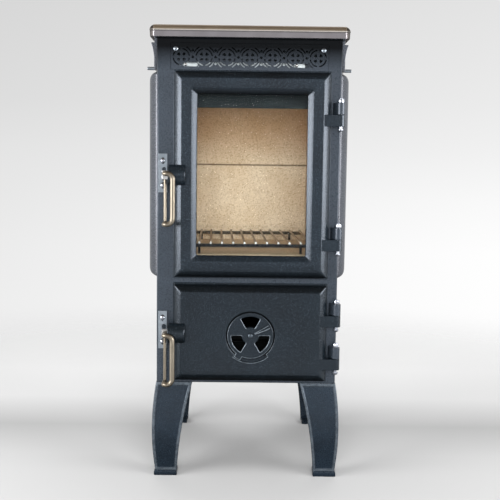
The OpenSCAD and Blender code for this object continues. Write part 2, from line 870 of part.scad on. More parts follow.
// Piercings between two rosettes: a small square, arcs that follow the rings, and drops above and below
module link_holes() {
    gap = rosette_pitch / 2;
    rotate(45) square(4.6, center = true);
    for (m = [0, 1]) mirror([0, m, 0]) {
        translate([0, 12.2]) rotate(45) square(4.4, center = true);
        for (s = [-1, 1]) translate([s * gap, 0]) mirror([s < 0 ? 0 : 1, 0])
            sector(rosette_r + 5.2, rosette_r + 7.4, 24, 62);
    }
}

module grille_pattern() {
    band = grille_h / 2 - 4.5;
    intersection() {
        union() {
            at_rosettes() rosette_holes();
            for (i = [0 : rosettes - 2])
                translate([(i - (rosettes - 2) / 2) * rosette_pitch, rosette_z]) link_holes();
        }
        translate([-grille_w / 2 + 5, rosette_z - band]) square([grille_w - 10, 2 * band]);
    }
}

// Knob slots, long enough for the slide's travel
module knob_slots(rim) {
    for (x = knob_xs)
        translate([x + slide_travel / 2 + knob_slot_off, knob_z])
            slot_xz(slide_travel + 2 * knob_r + knob_slot_spare + 2 * rim, knob_slot_h + 2 * rim);
}

module vent_grille() {
    y0 = grille_sink - grille_t;
    rim = 1.2;
    color(iron_light) at_front() difference() {
        box([seat_gap - grille_w / 2, y0, grille_z0 + seat_gap],
            [grille_w / 2 - seat_gap, grille_sink, grille_z0 + grille_h - seat_gap]);
        push_y(y0 - e, grille_sink + e) difference() {
            grille_pattern();
            knob_slots(rim);
            for (s = [-1, 1]) translate([s * grille_screw_x, grille_screw_z]) circle(head_r + 0.6);
        }
        push_y(y0 - e, grille_sink + e) knob_slots(0);
        for (s = [-1, 1])
            rod_y(s * grille_screw_x, grille_screw_z, y0 - e, grille_sink + e, screw_r + hole_clear);
    }
}

// Pan-head screw along Y with its head's underside on y
module screw_y(x, z, y, len) {
    rod_y(x, z, y - 0.01, y + len, screw_r);
    translate([x, y, z]) rotate([90, 0, 0]) difference() {
        intersection() {
            cylinder(r = head_r, h = head_t);
            translate([0, 0, head_t - head_r * 1.5]) sphere(r = head_r * 1.5);
        }
        for (a = [0, 90]) rotate([0, 0, a]) translate([0, 0, head_t]) cube([4.6, 0.9, 2], center = true);
    }
}

module grille_screws() {
    color(zinc) at_front() for (s = [-1, 1])
        screw_y(s * grille_screw_x, grille_screw_z, grille_sink - grille_t, plate_t);
}

slide_y = plate_t + seat_gap;

module air_slide() {
    color(steel) at_front() difference() {
        box([knob_xs[0] - 13, slide_y, slide_z0], [knob_xs[1] + 16, slide_y + slide_t, slide_z0 + slide_h]);
        for (x = knob_xs) rod_y(x, knob_z, slide_y - e, slide_y + slide_t + e, screw_r);
    }
}

module air_slide_knobs() {
    color(steel) at_front() for (x = knob_xs) {
        rod_y(x, knob_z, -3, slide_y, knob_r);
        rod_y(x, knob_z, slide_y - 0.01, slide_y + slide_t, screw_r);
        translate([x, -3, knob_z]) sphere(r = knob_r);
    }
}

guide_t = 1.5;
guide_clear = 0.2;
guide_window = 28;

// Channel that carries the slide behind the front casting
module air_slide_guide() {
    x0 = knob_xs[0] - 17;
    x1 = knob_xs[1] + 20 + slide_travel;
    y1 = slide_y + slide_t + seat_gap;
    color(iron) at_front() difference() {
        box([x0, plate_t, slide_z0 - guide_t - guide_clear],
            [x1, y1 + guide_t, slide_z0 + slide_h + guide_t + guide_clear]);
        box([x0 - e, plate_t - e, slide_z0 - guide_clear], [x1 + e, y1, slide_z0 + slide_h + guide_clear]);
        for (x = [x0 + guide_window / 2 : 1.4 * guide_window : x1 - guide_window])
            box([x, plate_t, slide_z0 + 3], [x + guide_window, y1 + guide_t + e, slide_z0 + slide_h - 3]);
    }
}

// ---- Fire chamber --------------------------------------------------------------------

module air_deflector() {
    y = plate_t + duct_d;
    z0 = main_z1 - deflector_down;
    x = inner_x - seat_gap;
    color(iron_light) at_front() {
        box([-x, y, z0], [x, y + deflector_t, plate_top]);
        box([-x, y + deflector_t - e, plate_top - deflector_t], [x, y + 16, plate_top]);
    }
}

module hearth_plate() {
    color(iron) at_front() difference() {
        box([-inner_x, plate_t, hearth_z], [inner_x, rear_y, floor_z]);
        box([door_x - grate_w / 2 + grate_lap, plate_t + grate_lap, hearth_z - e],
            [door_x + grate_w / 2 - grate_lap, trough_y - grate_lap, floor_z + e]);
    }
}

grate_w = 210;
grate_t = 9;
grate_bar = 6;
grate_lap = 6;       // ledge of the hearth plate under the grate

// Slotted grate at the bottom of the trough, where ash drops to the pan
module ash_grate() {
    y0 = plate_t + 1.5;
    y1 = trough_y - 1.5;
    color(iron) at_front() difference() {
        box([door_x - grate_w / 2, y0, floor_z], [door_x + grate_w / 2, y1, floor_z + grate_t]);
        for (x = [door_x - grate_w / 2 + 9 : 2 * grate_bar : door_x + grate_w / 2 - 12])
            box([x, y0 + 5, floor_z - e], [x + grate_bar, y1 - 5, floor_z + grate_t + e]);
    }
}

module floor_board() {
    color(board) at_front()
        box([-fire_x + seat_gap, trough_y, floor_z], [fire_x - seat_gap, back_y, fire_z]);
}

module back_board(z0, z1) {
    color(board) at_front() box([-fire_x + seat_gap, fire_back, z0], [fire_x - seat_gap, back_y, z1]);
}

module lower_back_board() { back_board(fire_z, fire_z + back_low_h); }

module upper_back_board() { back_board(fire_z + back_low_h, board_top); }

module side_board(x0) {
    color(board) at_front()
        box([x0, plate_t + duct_d + deflector_t + 2, floor_z], [x0 + board_t, back_y, board_top]);
}

module left_board() { side_board(-board_x); }

module right_board() { side_board(fire_x); }

module baffle_plate() {
    color(iron) at_front() box([-board_x, baffle_gap, board_top], [board_x, back_y, board_top + baffle_t]);
}

// Loose rack: wires from front to back over two flat bars with feet
module wire_rack() {
    bar_t = 3;
    rack_foot_w = 5;
    span = (rack_wires - 1) * rack_pitch;
    bar_len = span + 8;
    foot = span / 2 - rack_pitch;
    bars = rack_len / 2 - 3;
    color(steel) at_front() translate([rack_x, rack_y, rack_z]) rotate([0, 0, rack_turn]) {
        for (i = [0 : rack_wires - 1])
            translate([(i - (rack_wires - 1) / 2) * rack_pitch, 0, rack_wire_r - 0.2])
                rod_y(0, 0, -rack_len / 2, rack_len / 2, rack_wire_r);
        for (s = [-1, 1]) {
            translate([0, s * bars, -rack_bar_h / 2]) cube([bar_len, bar_t, rack_bar_h], center = true);
            for (f = [-1, 1])
                translate([f * foot, s * bars, -rack_h / 2])
                    cube([rack_foot_w, bar_t, rack_h], center = true);
        }
    }
}

module ash_pan() {
    x0 = pan_x0;
    x1 = pan_x1;
    color(steel) at_front() difference() {
        box([x0, pan_y, pan_z], [x1, pan_y + pan_d, pan_z + pan_h]);
        box([x0 + pan_wall, pan_y + pan_wall, pan_z + pan_wall],
            [x1 - pan_wall, pan_y + pan_d - pan_wall, pan_z + pan_h + e]);
    }
}

// Bail across the pan's front
module ash_pan_handle() {
    r = 2.5;
    w = 50;
    reach = 8;
    z = pan_z + pan_h * 0.6;
    y = pan_y - reach;
    color(steel) at_front() translate([(pan_x0 + pan_x1) / 2, 0, z]) {
        rod_x(y, 0, -w + r, w - r, r);
        for (s = [-1, 1]) {
            rod_y(s * (w - r), 0, y, pan_y, r);
            translate([s * (w - r), y, 0]) sphere(r);
        }
    }
}

module pan_runners() {
    w = 12;
    t = 3;
    y1 = rear_y - 20;
    color(iron) at_front() for (x = [pan_x0 + 4, pan_x1 - 4 - w]) push_y(pan_y, y1) polygon([
        [x, base_top], [x + w, base_top], [x + w, base_top + t], [x + t, base_top + t],
        [x + t, pan_z - t], [x + w, pan_z - t], [x + w, pan_z], [x, pan_z]
    ]);
}

// ---- Strike plates and hinge bolts ---------------------------------------------------

module strike_plate(z) {
    zc = z + strike_rise;
    slot_z = z - 12 + strike_slot_h / 2;
    color(zinc) at_front() difference() {
        box([strike_x - strike_w / 2, -strike_t, zc - strike_h / 2],
            [strike_x + strike_w / 2, 0, zc + strike_h / 2]);
        push_y(-strike_t - e, e) {
            for (s = [-1, 1])
                translate([strike_x, zc + s * strike_pitch / 2]) slot_xz(2 * screw_r + 1.2, 3 * head_r - 1.2);
            translate([finger_x, slot_z]) slot_xz(finger_w + 3.4, strike_slot_h);
        }
    }
}

module upper_strike_plate() { strike_plate(main_latch_z); }

module lower_strike_plate() { strike_plate(ash_latch_z); }

module strike_screws() {
    color(zinc) at_front() for (z = [main_latch_z, ash_latch_z], s = [-1, 1])
        screw_y(strike_x, z + strike_rise + s * strike_pitch / 2, -strike_t, strike_t + plate_t);
}

// Bolts with domed heads below the lower knuckles
module hinge_bolts() {
    color(zinc) at_front() for (z = hinge_zs) translate([hinge_x, -hinge_out, z]) {
        low = -knuckle_gap / 2 - knuckle_h - seat_gap;
        translate([0, 0, low - 0.01])
            cylinder(r = pin_r, h = knuckle_gap / 2 - low + knuckle_h + nut_h * 0.9);
        translate([0, 0, low - 5]) cylinder(r = nut_af / 2 / cos(30), h = 5, $fn = 6);
        translate([0, 0, low - 5]) intersection() {
            sphere(r = nut_af * 0.46);
            translate([0, 0, -nut_af / 2]) cube([nut_af, nut_af, nut_af], center = true);
        }
    }
}

module hinge_nuts() {
    color(zinc) at_front() for (z = hinge_zs)
        translate([hinge_x, -hinge_out, z + knuckle_gap / 2 + knuckle_h]) difference() {
            cylinder(r = nut_af / 2 / cos(30), h = nut_h, $fn = 6);
            translate([0, 0, -e]) cylinder(r = pin_r + pin_clear, h = nut_h + 2 * e);
        }
}

// ---- Doors ---------------------------------------------------------------------------

module door_blank(z0, z1) {
    lean_block(door_x0, door_x1, z0, z1, -door_t, -lip_t, bevel_w, 0);
    box([door_x0 - lip_w, -lip_t - 0.01, z0 - lip_w], [door_x1 + lip_w, -door_clear, z1 + lip_w]);
}

module door_knuckle(z) {
    z1 = z - knuckle_gap / 2;
    bar_front = -hinge_out - knuckle_r;
    translate([0, 0, z1 - knuckle_h]) linear_extrude(knuckle_h) {
        translate([hinge_x, -hinge_out]) circle(knuckle_r);
        translate([door_x1 - bevel_w - e, bar_front])
            square([hinge_x - door_x1 + bevel_w + e, 2 * knuckle_r]);
    }
}

// Web between the knuckle bar and the door's bevel
module knuckle_web(z) {
    z1 = z - knuckle_gap / 2;
    box([door_x1 - bevel_w - e, -hinge_out - knuckle_r, z1 - knuckle_h], [door_x1 + lip_w, -lip_t, z1]);
}

module latch_boss(z) {
    difference() {
        union() {
            rod_x(-spindle_out, z, boss_x0, boss_x0 + boss_len - 4, boss_r);
            translate([boss_x0 + boss_len - 4 - 0.01, -spindle_out, z])
                rotate([0, 90, 0]) cylinder(r1 = boss_r, r2 = boss_r - 4, h = 4.01);
        }
        box([boss_x0 - e, -door_clear, z - boss_r - e], [boss_x0 + boss_len + e, boss_r, z + boss_r + e]);
    }
}

module spindle_bore(z) {
    rod_x(-spindle_out, z, boss_x0 - e, boss_x0 + boss_len - 6, spindle_r + spindle_clear);
}

module rope_groove(z0, z1) {
    ring_block(door_x0, door_x1, z0, z1, -door_clear - rope_depth, -door_clear + e, rope_inset, rope_w);
}

module rope_ring(z0, z1) {
    g = 0.2;
    color(rope) at_front()
        ring_block(door_x0, door_x1, z0, z1,
            g - door_clear - rope_depth, -seat_gap, rope_inset + g, rope_w - 2 * g);
}

clip_zs = [0.22, 0.78];

// Places of the glass clips: x, z and the side that they reach from
function clip_places() = [
    for (s = [-1, 1], f = clip_zs) [s, 0, main_z0 + f * main_door_h],
    for (s = [-1, 1], f = [-0.22, 0.22]) [0, s, door_x + f * door_w]
];

// Runs its children in the frame of each clip: X along the door's edge, Z away from the glass's middle
module at_clips() {
    for (c = clip_places()) {
        if (c[0] != 0)
            translate([c[0] < 0 ? door_x0 + clip_inset : door_x1 - clip_inset, 0, c[2]])
                rotate([0, c[0] < 0 ? -90 : 90, 0]) children();
        else
            translate([c[2], 0, c[1] < 0 ? main_z0 + clip_inset : main_z1 - clip_inset])
                rotate([0, c[1] < 0 ? 180 : 0, 0]) children();
    }
}

module main_door() {
    color(iron) at_front() difference() {
        union() {
            door_blank(main_z0, main_z1);
            for (i = [0, 1]) {
                door_knuckle(hinge_zs[i]);
                knuckle_web(hinge_zs[i]);
            }
            latch_boss(main_latch_z);
        }
        lean_block(door_x0 + win_inset - window_bevel_w, door_x1 - win_inset + window_bevel_w,
            main_z0 + win_inset - window_bevel_w, main_z1 - win_inset + window_bevel_w,
            -door_t - 0.01, -glass_seat + 0.01, 0, window_bevel_w);
        box([door_x0 + clip_inset - seat_gap, -glass_seat, main_z0 + clip_inset - seat_gap],
            [door_x1 - clip_inset + seat_gap, 0, main_z1 - clip_inset + seat_gap]);
        rope_groove(main_z0, main_z1);
        at_clips() {
            box([-clip_w / 2 - seat_gap, -clip_y, -e], [clip_w / 2 + seat_gap, 0, 8.3 + seat_gap]);
            rod_y(0, 4.5, -clip_y - 7, 0, 1.5 + 0.1);
        }
        spindle_bore(main_latch_z);
        for (i = [0, 1]) hinge_bore(hinge_zs[i], pin_r + pin_clear);
    }
}

module door_glass() {
    color([0.55, 0.62, 0.65, 0.35]) at_front()
        box([door_x0 + clip_inset, -glass_y, main_z0 + clip_inset],
            [door_x1 - clip_inset, -clip_y, main_z1 - clip_inset]);
}

module glass_seal() {
    color(rope) at_front()
        ring_block(door_x0, door_x1, main_z0, main_z1, -glass_seat, -glass_y, clip_inset, glass_lap - 1.5);
}

module glass_clips() {
    color(steel) at_front() at_clips() difference() {
        box([-clip_w / 2, -clip_y, -glass_lap + 2], [clip_w / 2, clip_t - clip_y, 8]);
        rod_y(0, 4.5, -clip_y - e, clip_t - clip_y + e, 1.5 + 0.2);
    }
}

module glass_screws() {
    color(zinc) at_front() at_clips() {
        rod_y(0, 4.5, -clip_y - 6.5, clip_t - clip_y + 0.01, 1.5);
        rod_y(0, 4.5, clip_t - clip_y, clip_t - clip_y + 1.6, 3);
    }
}

module main_door_seal() { rope_ring(main_z0, main_z1); }

module ash_door() {
    wall = rope_inset + rope_w + 4;
    color(iron) at_front() difference() {
        union() {
            door_blank(ash_z0, ash_z1);
            for (i = [2, 3]) {
                door_knuckle(hinge_zs[i]);
                knuckle_web(hinge_zs[i]);
            }
            latch_boss(ash_latch_z);
        }
        difference() {
            box([door_x0 + wall, ash_face_t - door_t, ash_z0 + wall], [door_x1 - wall, 0, ash_z1 - wall]);
            box([door_x0, -door_t, ash_latch_z - boss_r], [boss_x0 + boss_len, 0, ash_latch_z + boss_r]);
        }
        rope_groove(ash_z0, ash_z1);
        spindle_bore(ash_latch_z);
        for (i = [2, 3]) hinge_bore(hinge_zs[i], pin_r + pin_clear);
        translate([disc_x, 0, disc_z]) {
            push_y(-door_t - e, recess_t - door_t) {
                circle(recess_r, $fn = 96);
                sector(recess_r - 2, pocket_r, pocket_start, pocket_start + pocket_span);
            }
            push_y(-door_t, ash_face_t - door_t + e)
                for (a = [90, 210, 330]) sector(air_in_r, air_out_r, a - air_angle / 2, a + air_angle / 2);
            rod_y(0, 0, -door_t, ash_face_t - door_t + e, 3 + hole_clear);
        }
    }
}

module ash_door_seal() { rope_ring(ash_z0, ash_z1); }

// ---- Air disc ------------------------------------------------------------------------

disc_back = recess_t - door_t - seat_gap;
disc_front = disc_back - disc_t;
rivet_r = 3;

// Fin in the disc's own frame, along +X: thin at the hub, wide and tall at the rim
module disc_fin() {
    r0 = 9;
    r1 = disc_r - 3;
    rotate([0, -fin_angle, 0]) intersection() {
        push_y(disc_front - fin_h, disc_front + 1)
            polygon([[r0, -0.8], [r1 - 2, -3.4], [r1, -2], [r1, 2], [r1 - 2, 3.4], [r0, 0.8]]);
        translate([0, 0, -6]) linear_extrude(12) polygon([
            [r0, disc_front + 1], [r0, disc_front - 1], [r0 + 5, disc_front - fin_h * 0.7],
            [r1 - 6, disc_front - fin_h], [r1, disc_front - fin_h * 0.5], [r1, disc_front + 1]
        ]);
    }
}

module air_disc() {
    color(iron_light) at_front() translate([disc_x, 0, disc_z]) difference() {
        union() {
            push_y(disc_front, disc_back) {
                circle(disc_r, $fn = 96);
                sector(disc_r - 2, pocket_r - 1.2, pocket_start + 1, pocket_start + 1 + lug_span);
            }
            disc_fin();
        }
        push_y(disc_front - e, disc_back + e)
            for (a = [90, 210, 330]) sector(air_in_r, air_out_r, a - air_angle / 2, a + air_angle / 2);
        rod_y(0, 0, disc_front - e, disc_back + e, rivet_r + 0.08);
    }
}

module disc_rivet() {
    color(steel) at_front() translate([disc_x, 0, disc_z]) {
        rod_y(0, 0, disc_front - seat_gap - 0.01, ash_face_t - door_t, rivet_r);
        rod_y(0, 0, ash_face_t - door_t, ash_face_t - door_t + 2, rivet_r + 2.5);
        translate([0, disc_front - seat_gap, 0]) rotate([90, 0, 0]) intersection() {
            cylinder(r = 4.6, h = 2.4);
            translate([0, 0, -3.6]) sphere(r = 6);
        }
    }
}

// ---- Latches -------------------------------------------------------------------------

// Spindle, catch block and finger in one piece of steel
module catch(z) {
    reach = spindle_out - strike_t + finger_reach;
    color(steel) at_front() {
        rod_x(-spindle_out, z, catch_x1 - 1, boss_x0 + boss_len - 7, spindle_r);
        box([catch_x0, -spindle_out - catch_half, z - catch_half],
            [catch_x1, catch_half - spindle_out, z + catch_half]);
        translate([finger_x, -spindle_out, z]) {
            box([-finger_w / 2, 0, -finger_r], [finger_w / 2, reach - finger_r, finger_r]);
            rod_x(reach - finger_r, 0, -finger_w / 2, finger_w / 2, finger_r);
        }
    }
}

module main_catch() { catch(main_latch_z); }

module ash_catch() { catch(ash_latch_z); }

// Closed loop: two rods come forward from the thin bar, then bend sideways into the upright grip
module grip_loop(rise) {
    translate([bar_x, bar_y, rise - grip_len]) cylinder(r = back_bar_r, h = grip_len - rise);
    translate([grip_x, grip_y, rise - grip_len + grip_bend])
        cylinder(r = grip_r, h = grip_len - 2 * grip_bend);
    for (up = [0, 1]) translate([0, 0, up ? rise : rise - grip_len]) mirror([0, 0, up ? 1 : 0]) {
        rod_y(bar_x, 0, grip_y, bar_y, grip_r);
        for (y = [grip_y, bar_y]) translate([bar_x, y, 0]) sphere(r = grip_r);
        rod_x(grip_y, 0, bar_x, grip_x - grip_bend, grip_r);
        translate([grip_x - grip_bend, grip_y, grip_bend]) rotate([90, 0, 0]) rotate([0, 0, -90])
            rotate_extrude(angle = 90) translate([grip_bend, 0]) circle(grip_r, $fn = 48);
    }
}

module handle(z, rise) {
    color(polish) at_front() translate([0, 0, z]) difference() {
        grip_loop(rise);
        box([catch_x0 - catch_len, -spindle_out - catch_half, -catch_half],
            [catch_x1 + catch_len, catch_half, 3 * catch_half]);
    }
}

module main_handle() { handle(main_latch_z, main_grip_rise); }

module ash_handle() { handle(ash_latch_z, ash_grip_rise); }

// ---- Nodes ---------------------------------------------------------------------------

front_plate();
left_wall();
right_wall();
rear_wall();
rear_wall_bolts();
base_plate();
top_plate();
top_rail();
hob_lid();
flue_collar();
flue_bolts();
left_side_panel();
right_side_panel();
side_studs();
front_left_leg();
front_right_leg();
rear_left_leg();
rear_right_leg();
leg_bolts();
vent_grille();
grille_screws();
air_slide();
air_slide_knobs();
air_slide_guide();
air_deflector();
baffle_plate();
hearth_plate();
ash_grate();
floor_board();
lower_back_board();
upper_back_board();
left_board();
right_board();
wire_rack();
ash_pan();
ash_pan_handle();
pan_runners();
upper_strike_plate();
lower_strike_plate();
strike_screws();
hinge_bolts();
hinge_nuts();
main_door();
door_glass();
glass_seal();
glass_clips();
glass_screws();
main_door_seal();
main_catch();
main_handle();
ash_door();
ash_door_seal();
disc_rivet();
air_disc();
ash_catch();
ash_handle();
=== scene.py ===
# Looks for the cast-iron wood stove: pieces, finishes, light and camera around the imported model, in metres.
import bpy
import bmesh
import json
import math
from mathutils import Matrix, Vector


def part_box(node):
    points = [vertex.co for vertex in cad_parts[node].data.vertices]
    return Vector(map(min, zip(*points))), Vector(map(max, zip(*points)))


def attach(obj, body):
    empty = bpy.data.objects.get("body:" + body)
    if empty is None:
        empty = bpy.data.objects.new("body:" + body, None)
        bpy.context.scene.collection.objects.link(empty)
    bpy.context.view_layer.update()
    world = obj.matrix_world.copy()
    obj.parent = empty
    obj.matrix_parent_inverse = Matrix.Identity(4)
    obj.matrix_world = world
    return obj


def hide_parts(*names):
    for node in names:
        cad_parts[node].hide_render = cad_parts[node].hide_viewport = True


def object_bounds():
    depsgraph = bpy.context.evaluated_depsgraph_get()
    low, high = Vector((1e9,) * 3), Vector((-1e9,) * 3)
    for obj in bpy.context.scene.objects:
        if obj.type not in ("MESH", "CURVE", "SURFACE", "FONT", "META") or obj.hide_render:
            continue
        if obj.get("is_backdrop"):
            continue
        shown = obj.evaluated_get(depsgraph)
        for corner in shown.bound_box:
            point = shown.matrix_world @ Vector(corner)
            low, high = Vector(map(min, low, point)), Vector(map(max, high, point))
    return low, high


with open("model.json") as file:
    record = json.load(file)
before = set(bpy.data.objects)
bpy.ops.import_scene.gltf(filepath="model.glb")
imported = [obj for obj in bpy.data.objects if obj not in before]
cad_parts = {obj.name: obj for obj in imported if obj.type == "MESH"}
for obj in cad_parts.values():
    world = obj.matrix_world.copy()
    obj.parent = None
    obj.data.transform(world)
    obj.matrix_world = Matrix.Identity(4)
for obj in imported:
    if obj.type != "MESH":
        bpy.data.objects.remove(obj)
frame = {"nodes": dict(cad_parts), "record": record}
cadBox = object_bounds()
cadNodes = frame["nodes"]
record = frame["record"]
bodyOf = {name: body for body, names in record["behaviour"]["bodies"].items() for name in names}
slotOf = {part["node"]: part["material_slot"] for part in record["subparts"]}
scene = bpy.context.scene
mm = 0.001
print("frame loaded:", len(cadNodes), "nodes")


def solidOf(node):  # the node's own solids with their corners joined
    shape = bmesh.new()
    shape.from_mesh(cadNodes[node].data)
    bmesh.ops.remove_doubles(shape, verts=shape.verts, dist=2e-6)
    return shape


def partsOf(node):  # boxes of the separate solids in one node: lowest and leftmost first, level pairs always in one order
    shape = solidOf(node)
    left, found = set(shape.verts), []
    while left:
        queue, seen = [left.pop()], []
        while queue:
            vert = queue.pop()
            seen.append(vert.co.copy())
            for edge in vert.link_edges:
                other = edge.other_vert(vert)
                if other in left:
                    left.remove(other)
                    queue.append(other)
        found.append(tuple(Vector([pick(p[k] for p in seen) for k in range(3)]) for pick in (min, max)))
    shape.free()
    return sorted(found, key=lambda pair: (round(pair[0].z, 4), pair[0].x, pair[0].x * pair[0].y))


def middle(pair):
    return (pair[0] + pair[1]) / 2


def edgesOf(box, grow):  # left, right, lower and upper edge of a box seen from the front
    return box[0].x - grow, box[1].x + grow, box[0].z - grow, box[1].z + grow


def camel(node):
    words = node.split("_")
    return words[0] + "".join(word.title() for word in words[1:])


def linked(name, data):
    made = bpy.data.objects.new(name, data)
    scene.collection.objects.link(made)
    return made


# Places read from the frame
castingFront, sealInset = 8.0, 9.7
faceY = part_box("front_plate")[1].y - castingFront * mm
mainEdge, ashEdge = [edgesOf(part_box(seal), sealInset * mm) for seal in ("main_door_seal", "ash_door_seal")]
hingeNuts = partsOf("hinge_nuts")
hingeAt = middle(hingeNuts[0]).to_2d()

desk = {}  # the tree that is being drawn, its object coordinates and its output
finishes = {}


def toLinear(hexColour):
    values = [int(hexColour[i:i + 2], 16) / 255 for i in (1, 3, 5)]
    return tuple(v / 12.92 if v <= 0.04045 else ((v + 0.055) / 1.055) ** 2.4 for v in values) + (1.0,)


class Feed:  # one output of a node: it feeds other nodes and takes part in sums
    def __init__(self, node, output=0):
        self.node, self.output = node, output

    def __getitem__(self, output):
        return Feed(self.node, output)

    def __add__(self, other):
        return mathOf("ADD", self, other)

    def __sub__(self, other):
        return mathOf("SUBTRACT", self, other)

    def __mul__(self, other):
        return mathOf("MULTIPLY", self, other)

    def take(self, feeds):  # sets or links the node's own sockets
        for key, value in feeds.items():
            if isinstance(value, Feed):
                desk["tree"].links.new(value.node.outputs[value.output], self.node.inputs[key])
            elif isinstance(value, str) and value.startswith("#"):
                self.node.inputs[key].default_value = toLinear(value)
            else:
                self.node.inputs[key].default_value = value
        return self


def put(kind, feeds=None, **settings):  # one node, its settings and what feeds its sockets
    made = desk["tree"].nodes.new(kind)
    for key, value in settings.items():
        setattr(made, key, value)
    return Feed(made).take(feeds or {})


def mathOf(kind, one, two=0.0):
    return put("ShaderNodeMath", {0: one, 1: two}, operation=kind)


def newFinish(name):
    mat = finishes[name] = bpy.data.materials.new(name)
    mat.use_nodes = True
    desk["tree"] = mat.node_tree
    mat.node_tree.nodes.clear()
    shader = put("ShaderNodeBsdfPrincipled")
    desk["out"] = put("ShaderNodeOutputMaterial", {"Surface": shader})
    desk["place"] = put("ShaderNodeTexCoord")["Object"]
    return shader


def mixSurface(factor, one, two):
    desk["out"].take({"Surface": put("ShaderNodeMixShader", {0: factor, 1: one, 2: two})})


def axisOf(axis):
    return put("ShaderNodeSeparateXYZ", {0: desk["place"]})[axis]


def noiseOf(scale, detail=3.0, rough=0.55, stretch=None):
    place = desk["place"]
    if stretch:
        place = put("ShaderNodeMapping", {"Vector": place, "Scale": stretch})
    return put("ShaderNodeTexNoise", {"Vector": place, "Scale": scale, "Detail": detail, "Roughness": rough})


def rampOf(value, stops):
    made = put("ShaderNodeValToRGB", {"Fac": value})
    ramp = made.node.color_ramp
    while len(ramp.elements) < len(stops):
        ramp.elements.new(0.5)
    for element, (at, colour) in zip(ramp.elements, stops):
        element.position = at
        element.color = toLinear(colour) if isinstance(colour, str) else colour
    return made


def toneOf(value, dark, light, low=0.35):
    return rampOf(value, [(low, dark), (1 - low, light)])


def spreadOf(value, low, high, fromLow=0.0, fromHigh=1.0, smooth=False):
    feeds = {"Value": value, "From Min": fromLow, "From Max": fromHigh, "To Min": low, "To Max": high}
    return put("ShaderNodeMapRange", feeds, interpolation_type="SMOOTHSTEP" if smooth else "LINEAR")


def blendOf(factor, one, two):
    return put("ShaderNodeMix", {0: factor, 6: one, 7: two}, data_type="RGBA")[2]


def bumpOf(shader, *layers):  # layers are (height, strength, depth)
    normal = {}
    for height, strength, depth in layers:
        feeds = {"Height": height, "Strength": strength, "Distance": depth, **normal}
        normal = {"Normal": put("ShaderNodeBump", feeds)}
    shader.take(normal)


# the last two keys give the colour and gloss of painted shade
castGrain = {"cloud": 14, "fleck": 965, "fleckShare": (0.615, 0.78), "rub": 180, "rubShare": (0.35, 0.6),
             "finer": 2.7, "pitDepth": 0.0007, "fineDepth": 0.0003, "sootTone": 0.002, "sootGloss": 0.08}
# painted shadow of the top rail: between these heights the plate and grille darken towards the top, in colour and gloss
paintedRailShadow = {"low": 0.788, "high": 0.834, "left": 0.05}


def plainGrey(value):
    return (value, value, value, 1)


def castFinish(name, dark, light, fleckTone, tint, rough, gloss, grainScale, grain, rubbedAndHighlitTone="#6d7680"):
    shader, form = newFinish(name), castGrain
    pits, fine = noiseOf(grainScale, 2, 0.6), noiseOf(grainScale * form["finer"], 3, 0.7)
    fleck = spreadOf(noiseOf(form["fleck"], 1), 0, 1, *form["fleckShare"])
    paint = blendOf(fleck, toneOf(noiseOf(form["cloud"], 5), dark, light), fleckTone)
    worn = put("ShaderNodeAttribute", attribute_name="worn")["Fac"]
    # above zero the paint turns to the edge tone: rubbed-edge wear together with painted highlights
    rubbedAndHighlit = spreadOf(worn, 0, 1) * spreadOf(noiseOf(form["rub"], 4), 0.35, 1.0, *form["rubShare"])
    unshaded = spreadOf(worn, form["sootGloss"], 1.0, -1, 0)  # a negative value is painted shade: near-black colour and little gloss in hollows, in openings and on shaded bevels
    # painted shadow under the rail, on the front plate and the grille
    if name == "platePaint":
        unshaded = unshaded * spreadOf(axisOf("Z"), 1.0, *[paintedRailShadow[key] for key in ("left", "low", "high")])
    shader.take({"Base Color": blendOf(unshaded, plainGrey(form["sootTone"]), blendOf(rubbedAndHighlit, paint, rubbedAndHighlitTone)),
                 "Roughness": spreadOf(pits, *rough, 0.3, 0.7), "Specular IOR Level": unshaded * gloss,
                 "Specular Tint": tint})
    bumpOf(shader, (pits, grain, form["pitDepth"]), (fine, grain * 0.8, form["fineDepth"]))


scratchDepth = 0.00012


def metalFinish(name, dark, light, stain, rough, brushScale, brush, scratch):
    shader = newFinish(name)
    lines = noiseOf(brushScale, 3, 0.6, brush)
    dull = spreadOf(noiseOf(160, 4), 0, 0.35, 0.5, 0.75)
    shader.take({"Base Color": blendOf(dull, toneOf(noiseOf(22), dark, light), stain), "Metallic": 1.0,
                 "Roughness": spreadOf(lines, *rough, 0.3, 0.7)})
    bumpOf(shader, (lines, scratch, scratchDepth))


